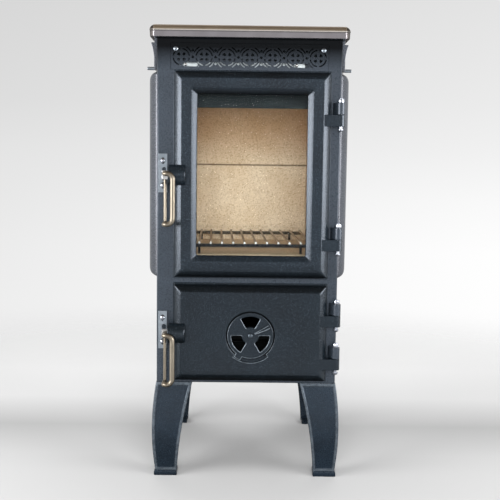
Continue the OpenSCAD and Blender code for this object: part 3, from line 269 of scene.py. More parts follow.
paintLooks = {  # dark, light, fleck, tint, roughness, gloss, grain scale, grain, tone of rubbed and highlit edges
    "platePaint": ("#20262c", "#262c33", "#434d58", "#eaf1ff", (0.24, 0.34), 0.5, 620, 0.08),
    "doorPaint": ("#080e13", "#0c141a", "#414b54", "#e2edfc", (0.17, 0.25), 0.52, 600, 0.42, "#7d868d"),
    "ashPaint": ("#070c10", "#0a1116", "#363f47", "#e2edfc", (0.17, 0.25), 0.46, 600, 0.42, "#6d757c"),
    "panelPaint": ("#24282d", "#2d3238", "#565c63", "#f4f4ff", (0.22, 0.34), 0.8, 430, 0.30),
    "legPaint": ("#0f151b", "#141c24", "#323e49", "#dcebff", (0.24, 0.34), 0.45, 430, 0.16, "#636a70"),
    "rackBar": ("#0b0c0e", "#14171a", "#30343a", "#dfe8f5", (0.35, 0.5), 0.3, 500, 0.15),
    "rackWire": ("#7a6450", "#947c64", "#5a4636", "#fff4e6", (0.35, 0.5), 0.6, 700, 0.10),
    "slidePaint": ("#9aa3a6", "#b4bcbe", "#c8cfd0", "#ffffff", (0.3, 0.4), 0.7, 900, 0.05),
    "wireTip": ("#c2c6ca", "#dcdfe2", "#f0f0f0", "#ffffff", (0.3, 0.4), 0.8, 900, 0.05),
    "sheetPaint": ("#1e2226", "#262b30", "#3d4349", "#eef3ff", (0.42, 0.54), 0.7, 900, 0.08),
    "deflectorSheet": ("#0a0d0f", "#101416", "#2b3235", "#d5e6f0", (0.30, 0.42), 0.25, 300, 0.05),
    "bareIron": ("#211f1c", "#332f2b", "#4a3a2e", "#fff0dd", (0.5, 0.7), 0.5, 350, 0.30),
}
metalLooks = {  # dark, light, stain, roughness, brush scale, brush direction, scratch
    "gripSteel": ("#7f776b", "#8d8578", "#6d6559", (0.38, 0.48), 900, (1.0, 1.0, 0.03), 0.05),
    "strikeSteel": ("#8b949d", "#a1aab3", "#68717a", (0.30, 0.40), 500, (1.0, 1.0, 0.1), 0.04),
    "rivetSteel": ("#59626a", "#69727a", "#454c52", (0.35, 0.45), 400, (1.0, 1.0, 1.0), 0.04),
    "zincSteel": ("#999da6", "#b0b4bd", "#a3a7b2", (0.26, 0.36), 300, (1.0, 1.0, 1.0), 0.02),
    "brightSteel": ("#bcbcbc", "#d2d2d2", "#a3a3a1", (0.18, 0.30), 800, (0.05, 1.0, 1.0), 0.04),
    # painted shade: the galvanised ash pan is coloured near black so that it reads as the shaded inside of the ash box
    "panSteel": ("#1f2122", "#2b2e30", "#171615", (0.42, 0.6), 90, (1.0, 1.0, 0.6), 0.06),
}
for name, look in paintLooks.items():
    castFinish(name, *look)
for name, look in metalLooks.items():
    metalFinish(name, *look)

# Fire boards: pale pressed board, browner towards the top, with specks, painted shade low at the front and a dark joint
boardLook = {"brown": (0.60, 0.70), "speck": (0.66, 0.74), "mottle": (0.36, 0.50), "sootTop": (0.445, 0.455),
             "sootFront": (-0.13, -0.05), "joint": (0.0008, 0.0024)}
shader = newFinish("fireBoard")
high = axisOf("Z")
base = toneOf(noiseOf(16, 5, 0.6), "#e0cbb0", "#f0dfc8", 0.32)
base = blendOf(spreadOf(high, 0.0, 0.6, *boardLook["brown"], True), base, "#cfa071")
base = blendOf(spreadOf(noiseOf(260, 2, 0.5), 0, 1, *boardLook["speck"]) * 0.5, base, "#8d6a48")
base = blendOf(spreadOf(noiseOf(420, 3, 0.7), 0.8, 0, *boardLook["mottle"]), base, "#98774f")
# painted shade on the boards low at the front of the firebox
paintedFloorShade = spreadOf(high, 1, 0, *boardLook["sootTop"]) * spreadOf(axisOf("Y"), 0.8, 0, *boardLook["sootFront"])
base = blendOf(paintedFloorShade, base, "#8b7c68")
jointGap = mathOf("ABSOLUTE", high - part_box("upper_back_board")[0].z)
base = blendOf(spreadOf(jointGap, 0.85, 0, *boardLook["joint"]), base, "#5a4430")
shader.take({"Base Color": base, "Roughness": 0.92, "Specular IOR Level": 0.2})
bumpOf(shader, (noiseOf(220, 4, 0.65), 0.4, 0.0008), (noiseOf(900, 2), 0.3, 0.0003))

# Polished rail with painted reflections in its colour: tan on the round nose above a painted white highlight line,
# lilac-grey on the flat band, and painted shade, darker and duller, where it turns at its ends
railLook = {"nose": 10.6, "noseBlur": 0.3, "crown": (2.0, 2.8), "turned": (9.5, 7.0)}
shader = newFinish("polishedRail")
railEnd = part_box("top_rail")[1]
high, split = axisOf("Z"), railEnd.z - railLook["nose"] * mm
nose = spreadOf(high, 0, 1, split - railLook["noseBlur"] * mm, split + railLook["noseBlur"] * mm)
crown = spreadOf(high, 0, 1, *[split + up * mm for up in railLook["crown"]], True)
cloud = noiseOf(30)
# painted reflections: a white highlight line at the foot of the nose, warm tan above it, lilac-grey on the flat band
rounded = blendOf(crown, "#f4f0ea", toneOf(cloud, "#8e8273", "#9b8f7f", 0.3))
tone = blendOf(nose, toneOf(cloud, "#888487", "#959195", 0.3), rounded)
# painted shade: the rail's ends darken and roughen where they turn
turned = spreadOf(mathOf("ABSOLUTE", axisOf("X")), 0, 0.9, *[railEnd.x - back * mm for back in railLook["turned"]])
lines = noiseOf(900, 3, 0.6, (0.02, 1.0, 1.0))
shader.take({"Base Color": blendOf(turned, tone, "#4a4643"), "Metallic": 1.0,
             "Roughness": spreadOf(lines, 0.14, 0.20, 0.3, 0.7) + (crown * 0.40 + turned * 0.5)})
bumpOf(shader, (lines, 0.03, scratchDepth))

# Woven glass rope
shader = newFinish("ropeFibre")
shader.take({"Base Color": toneOf(noiseOf(900), "#4e4d4a", "#8d8b85"), "Roughness": 0.95})
bumpOf(shader, (noiseOf(1600, 2), 0.5, 0.0003))

# Heat-proof glass: clear to shadow rays so that the boards stay lit
glassTint = (0.95, 0.96, 0.95, 1)
shader = newFinish("heatGlass")
shader.take({"Base Color": glassTint, "Roughness": 0.02, "IOR": 1.47, "Transmission Weight": 1.0,
             "Specular IOR Level": 0.1})
clarity = mathOf("MAXIMUM", put("ShaderNodeLightPath")["Is Shadow Ray"], 0.93)
mixSurface(clarity, shader, put("ShaderNodeBsdfTransparent", {"Color": glassTint}))
print("finishes:", len(finishes))

bySlot = {
    "cast_paint": "panelPaint", "sheet_paint": "sheetPaint", "bare_iron": "bareIron", "polished_rail": "polishedRail",
    "polished_grip": "gripSteel", "zinc_plate": "zincSteel", "bright_steel": "brightSteel",
    "galvanised_pan": "panSteel", "refractory": "fireBoard", "rope": "ropeFibre", "heat_glass": "heatGlass",
}
byNode = {
    "platePaint": ("front_plate", "vent_grille"), "doorPaint": ("main_door",), "ashPaint": ("ash_door", "air_disc"),
    "strikeSteel": ("upper_strike_plate", "lower_strike_plate", "grille_screws", "side_studs"),
    "rackWire": ("wire_rack",), "rivetSteel": ("disc_rivet",), "slidePaint": ("air_slide",),
    "deflectorSheet": ("air_deflector",), "legPaint": [name for name in cadNodes if name.endswith("_leg")],
}
finishOf = {name: finishes[bySlot[slotOf[name]]] for name in cadNodes}
for finish, names in byNode.items():
    finishOf.update({name: finishes[finish] for name in names})


def loopOf(shape, points, worn=0.0):  # edge wear and painted light are stored per vertex and read by the paints: above zero rubbed edges with painted highlights, below zero painted shade
    layer = shape.verts.layers.float.get("worn")
    if layer is None and not len(shape.verts):
        layer = shape.verts.layers.float.new("worn")
    loop = [shape.verts.new(point) for point in points]
    if layer is not None:
        for i, vert in enumerate(loop):
            vert[layer] = worn[i] if isinstance(worn, (list, tuple)) else worn
    return loop


def joinLoops(shape, loops):
    for one, two in zip(loops, loops[1:]):
        for i in range(len(one)):
            j = (i + 1) % len(one)
            shape.faces.new((one[i], one[j], two[j], two[i]))
        if len(one) == 4:
            for a, b in zip(one, two):
                shape.edges.get((a, b)).smooth = False


def fillFlat(shape, loops):  # flat face between an outer loop and its holes
    edges = []
    for loop in loops:
        for i, vert in enumerate(loop):
            other = loop[(i + 1) % len(loop)]
            edges.append(shape.edges.get((vert, other)) or shape.edges.new((vert, other)))
    bmesh.ops.triangle_fill(shape, use_beauty=True, edges=edges)


def closeLoops(shape, loops):  # a solid with flat ends
    joinLoops(shape, loops)
    fillFlat(shape, loops[:1])
    fillFlat(shape, loops[-1:])


def growOutline(points, distance):  # counter-clockwise outline moved outwards
    grown = []
    for i, here in enumerate(points):
        before, after = Vector(points[i - 1]), Vector(points[(i + 1) % len(points)])
        one, two = (Vector(here) - before).normalized(), (after - Vector(here)).normalized()
        side = Vector((one.y + two.y, -one.x - two.x)) / (1 + one.dot(two))
        grown.append(Vector(here) + side * distance)
    return grown


def filletPath(points, radius, steps=4, closed=True):  # rounds the corners of a 2D or 3D path
    points = [Vector(p) for p in points]
    radii = radius if isinstance(radius, (list, tuple)) else [radius] * len(points)
    straight, share = math.radians(89), 0.69  # flatter corners stay; a rounding takes at most this share of a side
    done = []
    for i, here in enumerate(points):
        one, two = points[i - 1] - here, points[(i + 1) % len(points)] - here
        loose = not closed and i in (0, len(points) - 1)
        if loose or radii[i] <= 0 or one.angle(two) / 2 > straight:
            done.append(here)
            continue
        half = one.angle(two) / 2
        reach = min(radii[i] / math.tan(half), one.length * share, two.length * share)
        size = reach * math.tan(half)
        heart = here + (one.normalized() + two.normalized()).normalized() * (size / math.sin(half))
        start, end = here + one.normalized() * reach - heart, here + two.normalized() * reach - heart
        swing = start.angle(end)
        for k in range(steps + 1):
            part = k / steps
            turned = start * math.sin((1 - part) * swing) + end * math.sin(part * swing)
            done.append(heart + turned / math.sin(swing))
    return done


def arcOf(radius, start, end, steps, centre=(0, 0)):
    angles = [math.radians(start + (end - start) * i / steps) for i in range(steps + 1)]
    return [Vector((centre[0] + radius * math.cos(a), centre[1] + radius * math.sin(a))) for a in angles]


def onPlate(points, depth):  # outline in X and Z (metres) at a depth behind the plate's face (mm)
    return [(p[0], faceY + depth * mm, p[1]) for p in points]


def insetOf(edge, inset):
    return edge[0] + inset * mm, edge[1] - inset * mm, edge[2] + inset * mm, edge[3] - inset * mm


def boxOf(x0, x1, z0, z1):
    return [(x0, z0), (x1, z0), (x1, z1), (x0, z1)]


def rectOf(edge, inset=0.0):
    return boxOf(*insetOf(edge, inset))


ringForm = {"bend": 1.0, "faceBend": 3.4, "bendFrom": 12.0, "bendOver": 11.0, "lead": 2.5, "sootFrom": 11.0,
            "sootReach": 0.6}


def doorRing(edge, inset, depth):  # rectangle with small rounded corners, roundest on the face
    x0, x1, z0, z1 = insetOf(edge, inset)
    share = max(0.0, min(1.0, (-depth - ringForm["bendFrom"]) / ringForm["bendOver"]))
    bend = (ringForm["bend"] + ringForm["faceBend"] * share) * mm
    reach = bend + ringForm["lead"] * mm
    points = []
    for x, z, sx, sz, start in ((x0, z0, 1, 1, 180), (x1, z0, -1, 1, 270), (x1, z1, -1, -1, 0), (x0, z1, 1, -1, 90)):
        lead = [Vector((x, z + sz * reach)), Vector((x + sx * reach, z))]
        if start in (270, 90):
            lead.reverse()
        points += [lead[0]] + arcOf(bend, start, start + 90, 6, (x + sx * bend, z + sz * bend)) + [lead[1]]
    return onPlate(points, depth)


def bakeMesh(draft, name):  # turns a draft object with modifiers into a plain mesh
    graph = bpy.context.evaluated_depsgraph_get()
    graph.update()
    mesh = bpy.data.meshes.new_from_object(draft.evaluated_get(graph), preserve_all_data_layers=True, depsgraph=graph)
    mesh.name = name
    bpy.data.objects.remove(draft)
    return mesh


def placePiece(name, mesh, node, extra, finish):  # an extra piece goes with one that already replaces the node
    mesh.materials.clear()
    mesh.materials.append(finish or finishOf[node])
    piece = linked(name, mesh)
    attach(piece, bodyOf[node])
    slotOf[node]
    if not extra:
        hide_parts(node)


def finishShape(shape, node, name=None, extra=False, finish=None, edge=0.0):
    name = name or camel(node)
    if not edge:
        bmesh.ops.recalc_face_normals(shape, faces=shape.faces)
    for face in shape.faces:
        face.smooth = True
    mesh = bpy.data.meshes.new(name + "Draft")
    shape.to_mesh(mesh)
    shape.free()
    draft = linked(name + "Draft", mesh)
    if edge:
        bevel = draft.modifiers.new("softEdge", "BEVEL")
        bevel.width = edge * mm
        bevel.segments = 2
        bevel.limit_method = "ANGLE"
        bevel.angle_limit = math.radians(40)
        bevel.use_clamp_overlap = False
        bevel.miter_outer = "MITER_ARC"
    else:
        mesh.set_sharp_from_angle(angle=math.radians(48))
    weighted = draft.modifiers.new("evenNormals", "WEIGHTED_NORMAL")
    weighted.weight = 60
    weighted.keep_sharp = True
    placePiece(name, bakeMesh(draft, name), node, extra, finish)


def between(stops, at):
    for (low, one), (high, two) in zip(stops, stops[1:]):
        if at <= high:
            return one + (two - one) * max(0.0, at - low) / (high - low)
    return stops[-1][1]


def paintedShadeLoop(shape, edge, inset, depth, lower, upper):  # painted shade on the lower and upper rails of a door
    points = doorRing(edge, inset, depth)
    heights, reach, paintedShadeAmounts = [p[2] for p in points], ringForm["sootReach"] * mm, [0.0] * len(points)
    for i, height in enumerate(heights):
        if depth < -ringForm["sootFrom"] and height < min(heights) + reach:
            paintedShadeAmounts[i] = -between(lower, inset)
        elif depth < -ringForm["sootFrom"] and height > max(heights) - reach:
            paintedShadeAmounts[i] = -between(upper, inset)
    return loopOf(shape, points, paintedShadeAmounts)


def pushOutline(shape, outline, levels, place=lambda u, v, h: (u, v, h)):  # levels are (growth, height)
    closeLoops(shape, [loopOf(shape, [place(p[0], p[1], height) for p in growOutline(outline, growth)])
                       for growth, height in levels])


def roundLevels(low, high, edge, steps=3):  # levels of a slab with rounded rims
    swings = [math.pi / 2 * k / steps for k in range(steps + 1)]
    levels = [(edge * math.sin(swing) - edge, low + edge - edge * math.cos(swing)) for swing in swings]
    return levels + [(growth, low + high - height) for growth, height in reversed(levels)]


def turnedPart(shape, profile, place, sides):  # profile of (radius, height), closed on the axis at both ends
    loops, turns = [], [2 * math.pi * i / sides for i in range(sides)]
    for radius, height in profile:
        if radius:
            ring = [place(radius * math.cos(a), radius * math.sin(a), height) for a in turns]
            loops.append(loopOf(shape, ring))
        else:
            loops.append([shape.verts.new(place(0, 0, height))])
    for one, two in zip(loops, loops[1:]):
        for i in range(sides):
            j = (i + 1) % sides
            if len(one) == 1:
                shape.faces.new((one[0], two[j], two[i]))
            elif len(two) == 1:
                shape.faces.new((one[i], one[j], two[0]))
            else:
                shape.faces.new((one[i], one[j], two[j], two[i]))


# Front casting
plateForm = {"back": 8.0, "chamfer": 4.0, "openingInset": 24.0, "pocket": 2.0, "pocketEdge": 0.4, "pocketGap": 0.3,
             "ventInset": 3.0, "padHalf": 6.0, "edge": 0.9}
knuckleForm = {"radius": 7.75, "height": 22.0, "edge": 0.8, "root": 14.0, "sink": 4.0, "lead": 13.5, "gap": 0.4}
plateLow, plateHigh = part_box("front_plate")
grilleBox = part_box("vent_grille")
grilleEdge = edgesOf(grilleBox, plateForm["pocketGap"] * mm)
grilleScrew = middle(partsOf("grille_screws")[0])


def ventOutline():
    x0, x1, z0, z1 = insetOf(grilleEdge, plateForm["ventInset"])
    half = plateForm["padHalf"] * mm
    outer, inner, low = abs(grilleScrew.x) + half, abs(grilleScrew.x) - half, grilleScrew.z - half
    return [(x0, z0), (x1, z0), (x1, z1), (outer, z1), (outer, low), (inner, low), (inner, z1),
            (-inner, z1), (-inner, low), (-outer, low), (-outer, z1), (x0, z1)]


def addKnuckle(shape, outline, top):
    pushOutline(shape, outline, roundLevels(top - knuckleForm["height"] * mm, top, knuckleForm["edge"] * mm))


def buildFrontPlate():
    form = plateForm
    shape = bmesh.new()
    back, chamfer, edge = form["back"], form["chamfer"], form["edge"]
    outer = (plateLow.x, -plateLow.x, plateLow.z, plateHigh.z)

    def tunnel(levels, outline):  # joined loops of (inset, depth)
        loops = [loopOf(shape, onPlate(outline(inset), depth)) for inset, depth in levels]
        joinLoops(shape, loops)
        return loops
    turns = [math.radians(angle) for angle in range(15, 91, 15)]
    rim = [(chamfer, 0)] + [(chamfer * (1 - math.sin(a)), chamfer * (1 - math.cos(a))) for a in turns] + [(0, back)]
    loops = tunnel(rim, lambda inset: rectOf(outer, inset))
    lip = ((-edge, 0), (-edge * 0.3, edge * 0.3), (0, edge), (0, back))
    holes = [tunnel(lip, lambda inset: rectOf(opening, form["openingInset"] + inset))
             for opening in (mainEdge, ashEdge)]
    pocketLevels = ((-form["pocketEdge"], 0), (0, form["pocketEdge"]), (0, form["pocket"]))
    pocket = tunnel(pocketLevels, lambda inset: rectOf(grilleEdge, inset))
    vent = tunnel(((0, form["pocket"]), (0, back)), lambda inset: ventOutline())
    fillFlat(shape, [loops[0]] + [hole[0] for hole in holes] + pocket[:1])
    fillFlat(shape, [pocket[-1], vent[0]])
    fillFlat(shape, [loops[-1], vent[1]] + [hole[-1] for hole in holes])
    root, sink = hingeAt.x - knuckleForm["root"] * mm, faceY + knuckleForm["sink"] * mm
    for nut in hingeNuts:
        outline = arcOf(knuckleForm["radius"] * mm, -160, 75, 20, hingeAt)
        outline += [Vector((hingeAt.x - 1 * mm, sink)), Vector((root, sink)), Vector((root, faceY))]
        addKnuckle(shape, outline, nut[0].z)
    finishShape(shape, "front_plate", "frontCasting")


buildFrontPlate()
print("front casting")

# Doors
doorForm = {"face": -24.0, "lip": 3.5, "lipOut": 3.0, "clear": 0.5, "bevel": 14.0, "band": 16.5, "windowBevel": 12.0,
            "seat": 11.0, "fall": 13.0, "outerTurn": (25.0, 48.0), "outerRound": 1.2, "windowTurn": (24.0, 42.0),
            "crease": 1.8, "ropeInset": 9.5, "ropeWidth": 8.0, "ropeDepth": 5.5, "clipRebate": 24.8, "rebateDepth": 5.6,
            "glassInset": 33.2, "rounding": [0.4, 0.6, 0.6, 0.4, 0.5, 0.8, 0.8, 0]}
bossForm = {"radius": 19.5, "out": 11.0, "length": 33.0, "edge": 3.2, "backEdge": 1.2, "spindleOut": 20.2,
            "capStart": 0.55, "capEnd": 0.5, "capSink": 0.8}
# Painted shade on the rails by inset: lower and upper rail
mainPaintedShade = [(0, 0.9), (14, 0.3), (31, 0), (43, 0)], [(0, 0.7), (10, 0.55), (14, 0), (31, 0.2), (40, 0.8), (43, 0.9)]
ashPaintedShade = [(0, 0.9), (14, 0.2), (21, 0)], [(0, 0.7), (10, 0.55), (14, 0), (21, 0)]


def doorLip(form):  # back of the rope groove, round the lip, to the foot of the bevel
    start, end, clear = form["ropeInset"], form["ropeInset"] + form["ropeWidth"], -form["clear"]
    groove = [(end, clear), (end, clear - form["ropeDepth"]), (start, clear - form["ropeDepth"]), (start, clear)]
    return groove + [(-form["lipOut"], clear), (-form["lipOut"], -form["lip"]), (0, -form["lip"]),
                     (0, form["face"] + form["fall"])]


def bevelRun(form, width, turn):  # (run, fall) from the door's face: a tight turn, then a slowly steepening slope
    crease, slopes = form["crease"], 7
    steps = [(crease / 4, turn[0] * share) for share in (0.15, 0.4, 0.65, 0.9)]
    steps += [((width - crease) / slopes, turn[0] + (turn[1] - turn[0]) * k / (slopes - 1)) for k in range(slopes)]
    run = [(0.0, 0.0)]
    for size, angle in steps:
        run.append((run[-1][0] + size, run[-1][1] + size * math.tan(math.radians(angle))))
    return run


def outerBevel(form):  # rounded fall from the door's side to its face
    inset, turn, upright = form["outerRound"], math.radians(form["outerTurn"][1]), math.radians(90)
    run = bevelRun(form, form["bevel"] - inset, form["outerTurn"])
    slope = [(form["bevel"] - along, form["face"] + fall) for along, fall in run]
    tight = inset / (1 - math.sin(turn))
    steep = [(tight * (1 - math.sin(a)), slope[-1][1] + tight * (math.cos(turn) - math.cos(a)))
             for a in [upright + (turn - upright) * k / 5 for k in range(5)]]
    return steep + slope[::-1]


def addDoorHinges(shape, edge, nuts):
    radius, lip = knuckleForm["radius"] * mm, faceY - doorForm["lip"] * mm
    start, end = edge[1] - knuckleForm["lead"] * mm, edge[1] + doorForm["lipOut"] * mm
    outline = [Vector((start, hingeAt.y - radius))] + arcOf(radius, -90, 90, 16, hingeAt)
    outline += [Vector((end, hingeAt.y + radius)), Vector((end, lip)), Vector((start, lip))]
    for nut in nuts:
        addKnuckle(shape, outline, nut[0].z - (knuckleForm["height"] + knuckleForm["gap"]) * mm)


def addBoss(shape, edge, catch):
    form = bossForm
    radius, bend, rear = form["radius"] * mm, form["edge"] * mm, form["backEdge"] * mm
    x0, x1 = edge[0] - form["out"] * mm, edge[0] + (form["length"] - form["out"]) * mm
    axisY, back, height = faceY - form["spindleOut"] * mm, faceY - doorForm["clear"] * mm, middle(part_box(catch)).z
    levels = [(0, x0), (radius - rear, x0), (radius - 0.35 * mm, x0 + 0.35 * mm), (radius, x0 + rear)]
    for k in range(6):
        swing = math.pi / 2 * k / 5
        levels.append((radius - bend + bend * math.cos(swing), x1 - bend + bend * math.sin(swing)))
    floor = x1 - form["capSink"] * mm
    levels += [(radius * form["capStart"], x1), (radius * form["capEnd"], floor), (0, floor)]
    turnedPart(shape, levels, lambda u, v, h: (h, min(axisY + v, back), height + u), 64)


def buildMainDoor():
    form = doorForm
    shape = bmesh.new()
    window = form["bevel"] + form["band"] + form["windowBevel"]
    run = bevelRun(form, form["windowBevel"], form["windowTurn"])
    bend = [(window - form["windowBevel"] + along, form["face"] + fall) for along, fall in run]
    profile = filletPath(doorLip(form), form["rounding"], 4, closed=False)[:-1] + outerBevel(form) + bend
    back = [(window, -form["seat"]), (form["glassInset"], -form["seat"]), (form["glassInset"], -form["rebateDepth"]),
            (form["clipRebate"], -form["rebateDepth"]), (form["clipRebate"], -form["clear"])]
    profile += filletPath(back, [0, 0.3, 0.3, 0.3, 0], 3, closed=False)
    loops = [paintedShadeLoop(shape, mainEdge, inset, depth, *mainPaintedShade) for inset, depth in profile]
    joinLoops(shape, loops + loops[:1])
    addDoorHinges(shape, mainEdge, hingeNuts[2:])
    addBoss(shape, mainEdge, "main_catch")
    finishShape(shape, "main_door", "mainDoorCasting")


airForm = {"radius": 44.5, "recess": 47.0, "recessDepth": 4.0, "thick": 3.5, "inner": 16.8, "outer": 37.0,
           "pocket": 53.0, "pocketStart": 232.0, "pocketSpan": 77.0, "lugSpan": 15.0, "lugGap": 1.2, "edge": 1.4,
           "face": 8.0, "wall": 21.5, "gap": 0.3, "ways": (90, 210, 330), "wayHalf": 30, "corner": 0.8}
finForm = {"turn": 27.0, "lip": 0.9, "sections": [(9, 0.8, 0.5), (14, 1.3, 4.34), (24, 2.2, 5.95), (35.5, 3.2, 7.0),
                                                  (40.2, 3.4, 5.25), (41.5, 2.2, 3.15)]}  # reach, half width, height
rivetForm = [(0, 6.2), (5.5, 6.2), (5.5, 4.2), (3, 4.1), (3, -4.1), (4.5, -4.2), (4.55, -4.9), (4.1, -5.8), (3.2, -6.3),
             (1.8, -6.6), (0, -6.7)]
discAt = Vector((middle(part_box("disc_rivet")).x, middle(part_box("disc_rivet")).z))


def sectorOutline(start, grow=0.0):
    low, high = start - airForm["wayHalf"], start + airForm["wayHalf"]
    outline = arcOf(airForm["outer"] * mm, low, high, 16, discAt) + arcOf(airForm["inner"] * mm, high, low, 10, discAt)
    radii = [airForm["corner"] * mm if i in (0, 16, 17, 27) else 0 for i in range(len(outline))]
    return growOutline(filletPath(outline, radii, 3), grow * mm)


def lobeOutline(radius, lobe, start, span, grow):  # circle with a wider lobe over part of its rim
    outline = arcOf(lobe * mm, start, start + span, 20, discAt)
    outline += arcOf(radius * mm, start + span + 1.5, start + 358.5, 72, discAt)
    return growOutline(outline, grow * mm)


def buildAshDoor():
    form, air = doorForm, airForm
    shape = bmesh.new()
    face, floor, back = form["face"], form["face"] + air["recessDepth"], form["face"] + air["face"]
    profile = [(air["wall"], back), (air["wall"], -form["clear"])] + doorLip(form)
    profile = filletPath(profile, [0, 0.8] + form["rounding"], 4, closed=False)[:-1] + outerBevel(form)
    loops = [paintedShadeLoop(shape, ashEdge, inset, depth, *ashPaintedShade) for inset, depth in profile + [(air["wall"], face)]]
    joinLoops(shape, loops)
    # recess rim: painted highlight along its lower part, painted shade on its inner wall and floor
    levels = [(1.2, face, 0), (0.5, face + 0.3, 0.9), (0, face + 1.0, 0), (0, face + 1.3, -1), (0, floor, -1)]
    recess = []
    for grow, depth, worn in levels:
        outline = lobeOutline(air["recess"], air["pocket"], air["pocketStart"], air["pocketSpan"], grow)
        lit = [worn if worn < 0 else worn * max(0.0, min(1.0, (discAt.y - p[1] - 0.018) / 0.02)) for p in outline]
        if depth == floor:  # the pocket for the disc's lobe gets no painted shade
            lit = [0.0 if i <= 20 else worn for i in range(len(outline))]
        recess.append(loopOf(shape, onPlate(outline, depth), lit))
    joinLoops(shape, recess)
    ways = []
    for start in air["ways"]:
        # painted shade on the walls of the door's sector openings
        ways.append([loopOf(shape, onPlate(sectorOutline(start), depth), -1) for depth in (floor, back)])
        joinLoops(shape, ways[-1])
    fillFlat(shape, [loops[-1], recess[0]])
    fillFlat(shape, [recess[-1]] + [way[0] for way in ways])
    fillFlat(shape, [loops[0]] + [way[1] for way in ways])
    addDoorHinges(shape, ashEdge, hingeNuts[:2])
    addBoss(shape, ashEdge, "ash_catch")
    finishShape(shape, "ash_door", "ashDoorCasting")


def addFin(shape, front):  # a hollow folded tab, open along its top
    turn, lip, sections = math.radians(finForm["turn"]), finForm["lip"], []
    for reach, half, tall in finForm["sections"]:
        side = [(-half - lip, 0), (-half - 0.3, tall * 0.9), (-half, tall), (-half + 0.8, tall * 0.93),
                (-half * 0.25, tall * 0.25 + 0.4)]
        ring = []
        for across, up in side + [(-across, up) for across, up in reversed(side)]:
            u, v = reach * mm, across * mm
            ring.append((discAt.x + u * math.cos(turn) - v * math.sin(turn), faceY + (front - up + 0.6) * mm,
                         discAt.y + u * math.sin(turn) + v * math.cos(turn)))
        # painted highlights along the fin's two top edges
        sections.append(loopOf(shape, ring, [0, 0.5, 1, 0.8, 0, 0, 0.8, 1, 0.5, 0]))
    joinLoops(shape, sections)
    shape.faces.new(sections[0])
    shape.faces.new(sections[-1])


def buildAirDisc():
    air, edge = airForm, airForm["edge"]
    shape = bmesh.new()
    back = doorForm["face"] + air["recessDepth"] - air["gap"]
    front = back - air["thick"]
    levels = [(edge, front, 0), (edge * 0.6, front + edge * 0.1, 1), (edge * 0.2, front + edge * 0.45, 1),
              (0, front + edge, 0.6), (0, front + edge + 0.4, 0), (0, back, 0)]  # (inset, depth, edge wear and painted highlight)
    rim, lobe = [], air["pocket"] - air["lugGap"]
    for inset, depth, worn in levels:
        outline = lobeOutline(air["radius"], lobe, air["pocketStart"] + 1, air["lugSpan"], -inset)
        # painted highlights on the rim's edges, brightest towards the lower left
        lit = [worn * max(0.12, min(1.0, 0.35 - (p[1] - discAt.y) / 0.05 - (p[0] - discAt.x) / 0.12)) for p in outline]
        rim.append(loopOf(shape, onPlate(outline, depth), lit))
    joinLoops(shape, rim)
    ways = []
    for start in air["ways"]:
        # painted highlights on the openings' edges; the top opening's outer arc stays unlit
        arc = 0.0 if start == 90 else 0.9
        lit = [1] * 4 + [arc] * 15 + [1] * 8 + [0] * 9 + [1] * 4
        ways.append([loopOf(shape, onPlate(sectorOutline(start, inset), depth), [worn * v for v in lit])
                     for inset, depth, worn in levels])
        joinLoops(shape, ways[-1])
    fillFlat(shape, [rim[0]] + [way[0] for way in ways])
    fillFlat(shape, [rim[-1]] + [way[-1] for way in ways])
    addFin(shape, front)
    finishShape(shape, "air_disc", "airDiscCasting")
    rivet = bmesh.new()
    turnedPart(rivet, [(radius * mm, height * mm) for radius, height in rivetForm],
               lambda u, v, h: (discAt.x + u, faceY - 20 * mm + h, discAt.y + v), 32)
    finishShape(rivet, "disc_rivet")


buildMainDoor()
buildAshDoor()
buildAirDisc()
print("doors and air disc")

# Side panels: the rise is (inset in Y, inset in Z, out)
panelForm = {"rise": [(0, 0, 0), (0, 0, 8.4), (0.5, 0.4, 10.0), (4.5, 1.6, 14.0), (10, 3.6, 18.4), (14.5, 6.0, 21.4),
                      (18.5, 8.8, 23.4), (22.5, 12.0, 24.7), (27, 16.0, 25.3), (33, 22, 25.5)], "corner": 6.0}


def buildSidePanel(node, side):
    low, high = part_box(node)
    base = high.x if side < 0 else low.x
    shape = bmesh.new()
    loops = []
    for insetY, insetZ, out in panelForm["rise"]:
        flat = boxOf(low.y + insetY * mm, high.y - insetY * mm, low.z + insetZ * mm, high.z - insetZ * mm)
        ring = filletPath(flat, panelForm["corner"] * mm, 5)
        loops.append(loopOf(shape, [(base + side * out * mm, p[0], p[1]) for p in ring]))
    closeLoops(shape, loops)
    finishShape(shape, node)


buildSidePanel("left_side_panel", -1)
buildSidePanel("right_side_panel", 1)
print("side panels")

# Legs
legForm = {"height": 188.0, "top": 71.0, "foot": 41.0, "bulge": 7.7, "curve": 5.8, "thick": 7.0, "rim": 5.0,
           "sink": 1.3, "toe": 12.0, "toeOut": 4.0, "toeIn": 8.5, "rows": 44, "corner": 2.4, "rimTone": 0.4}


def smoothStep(value, low, high):
    part = min(max((value - low) / (high - low), 0), 1)
    return part * part * (3 - 2 * part)


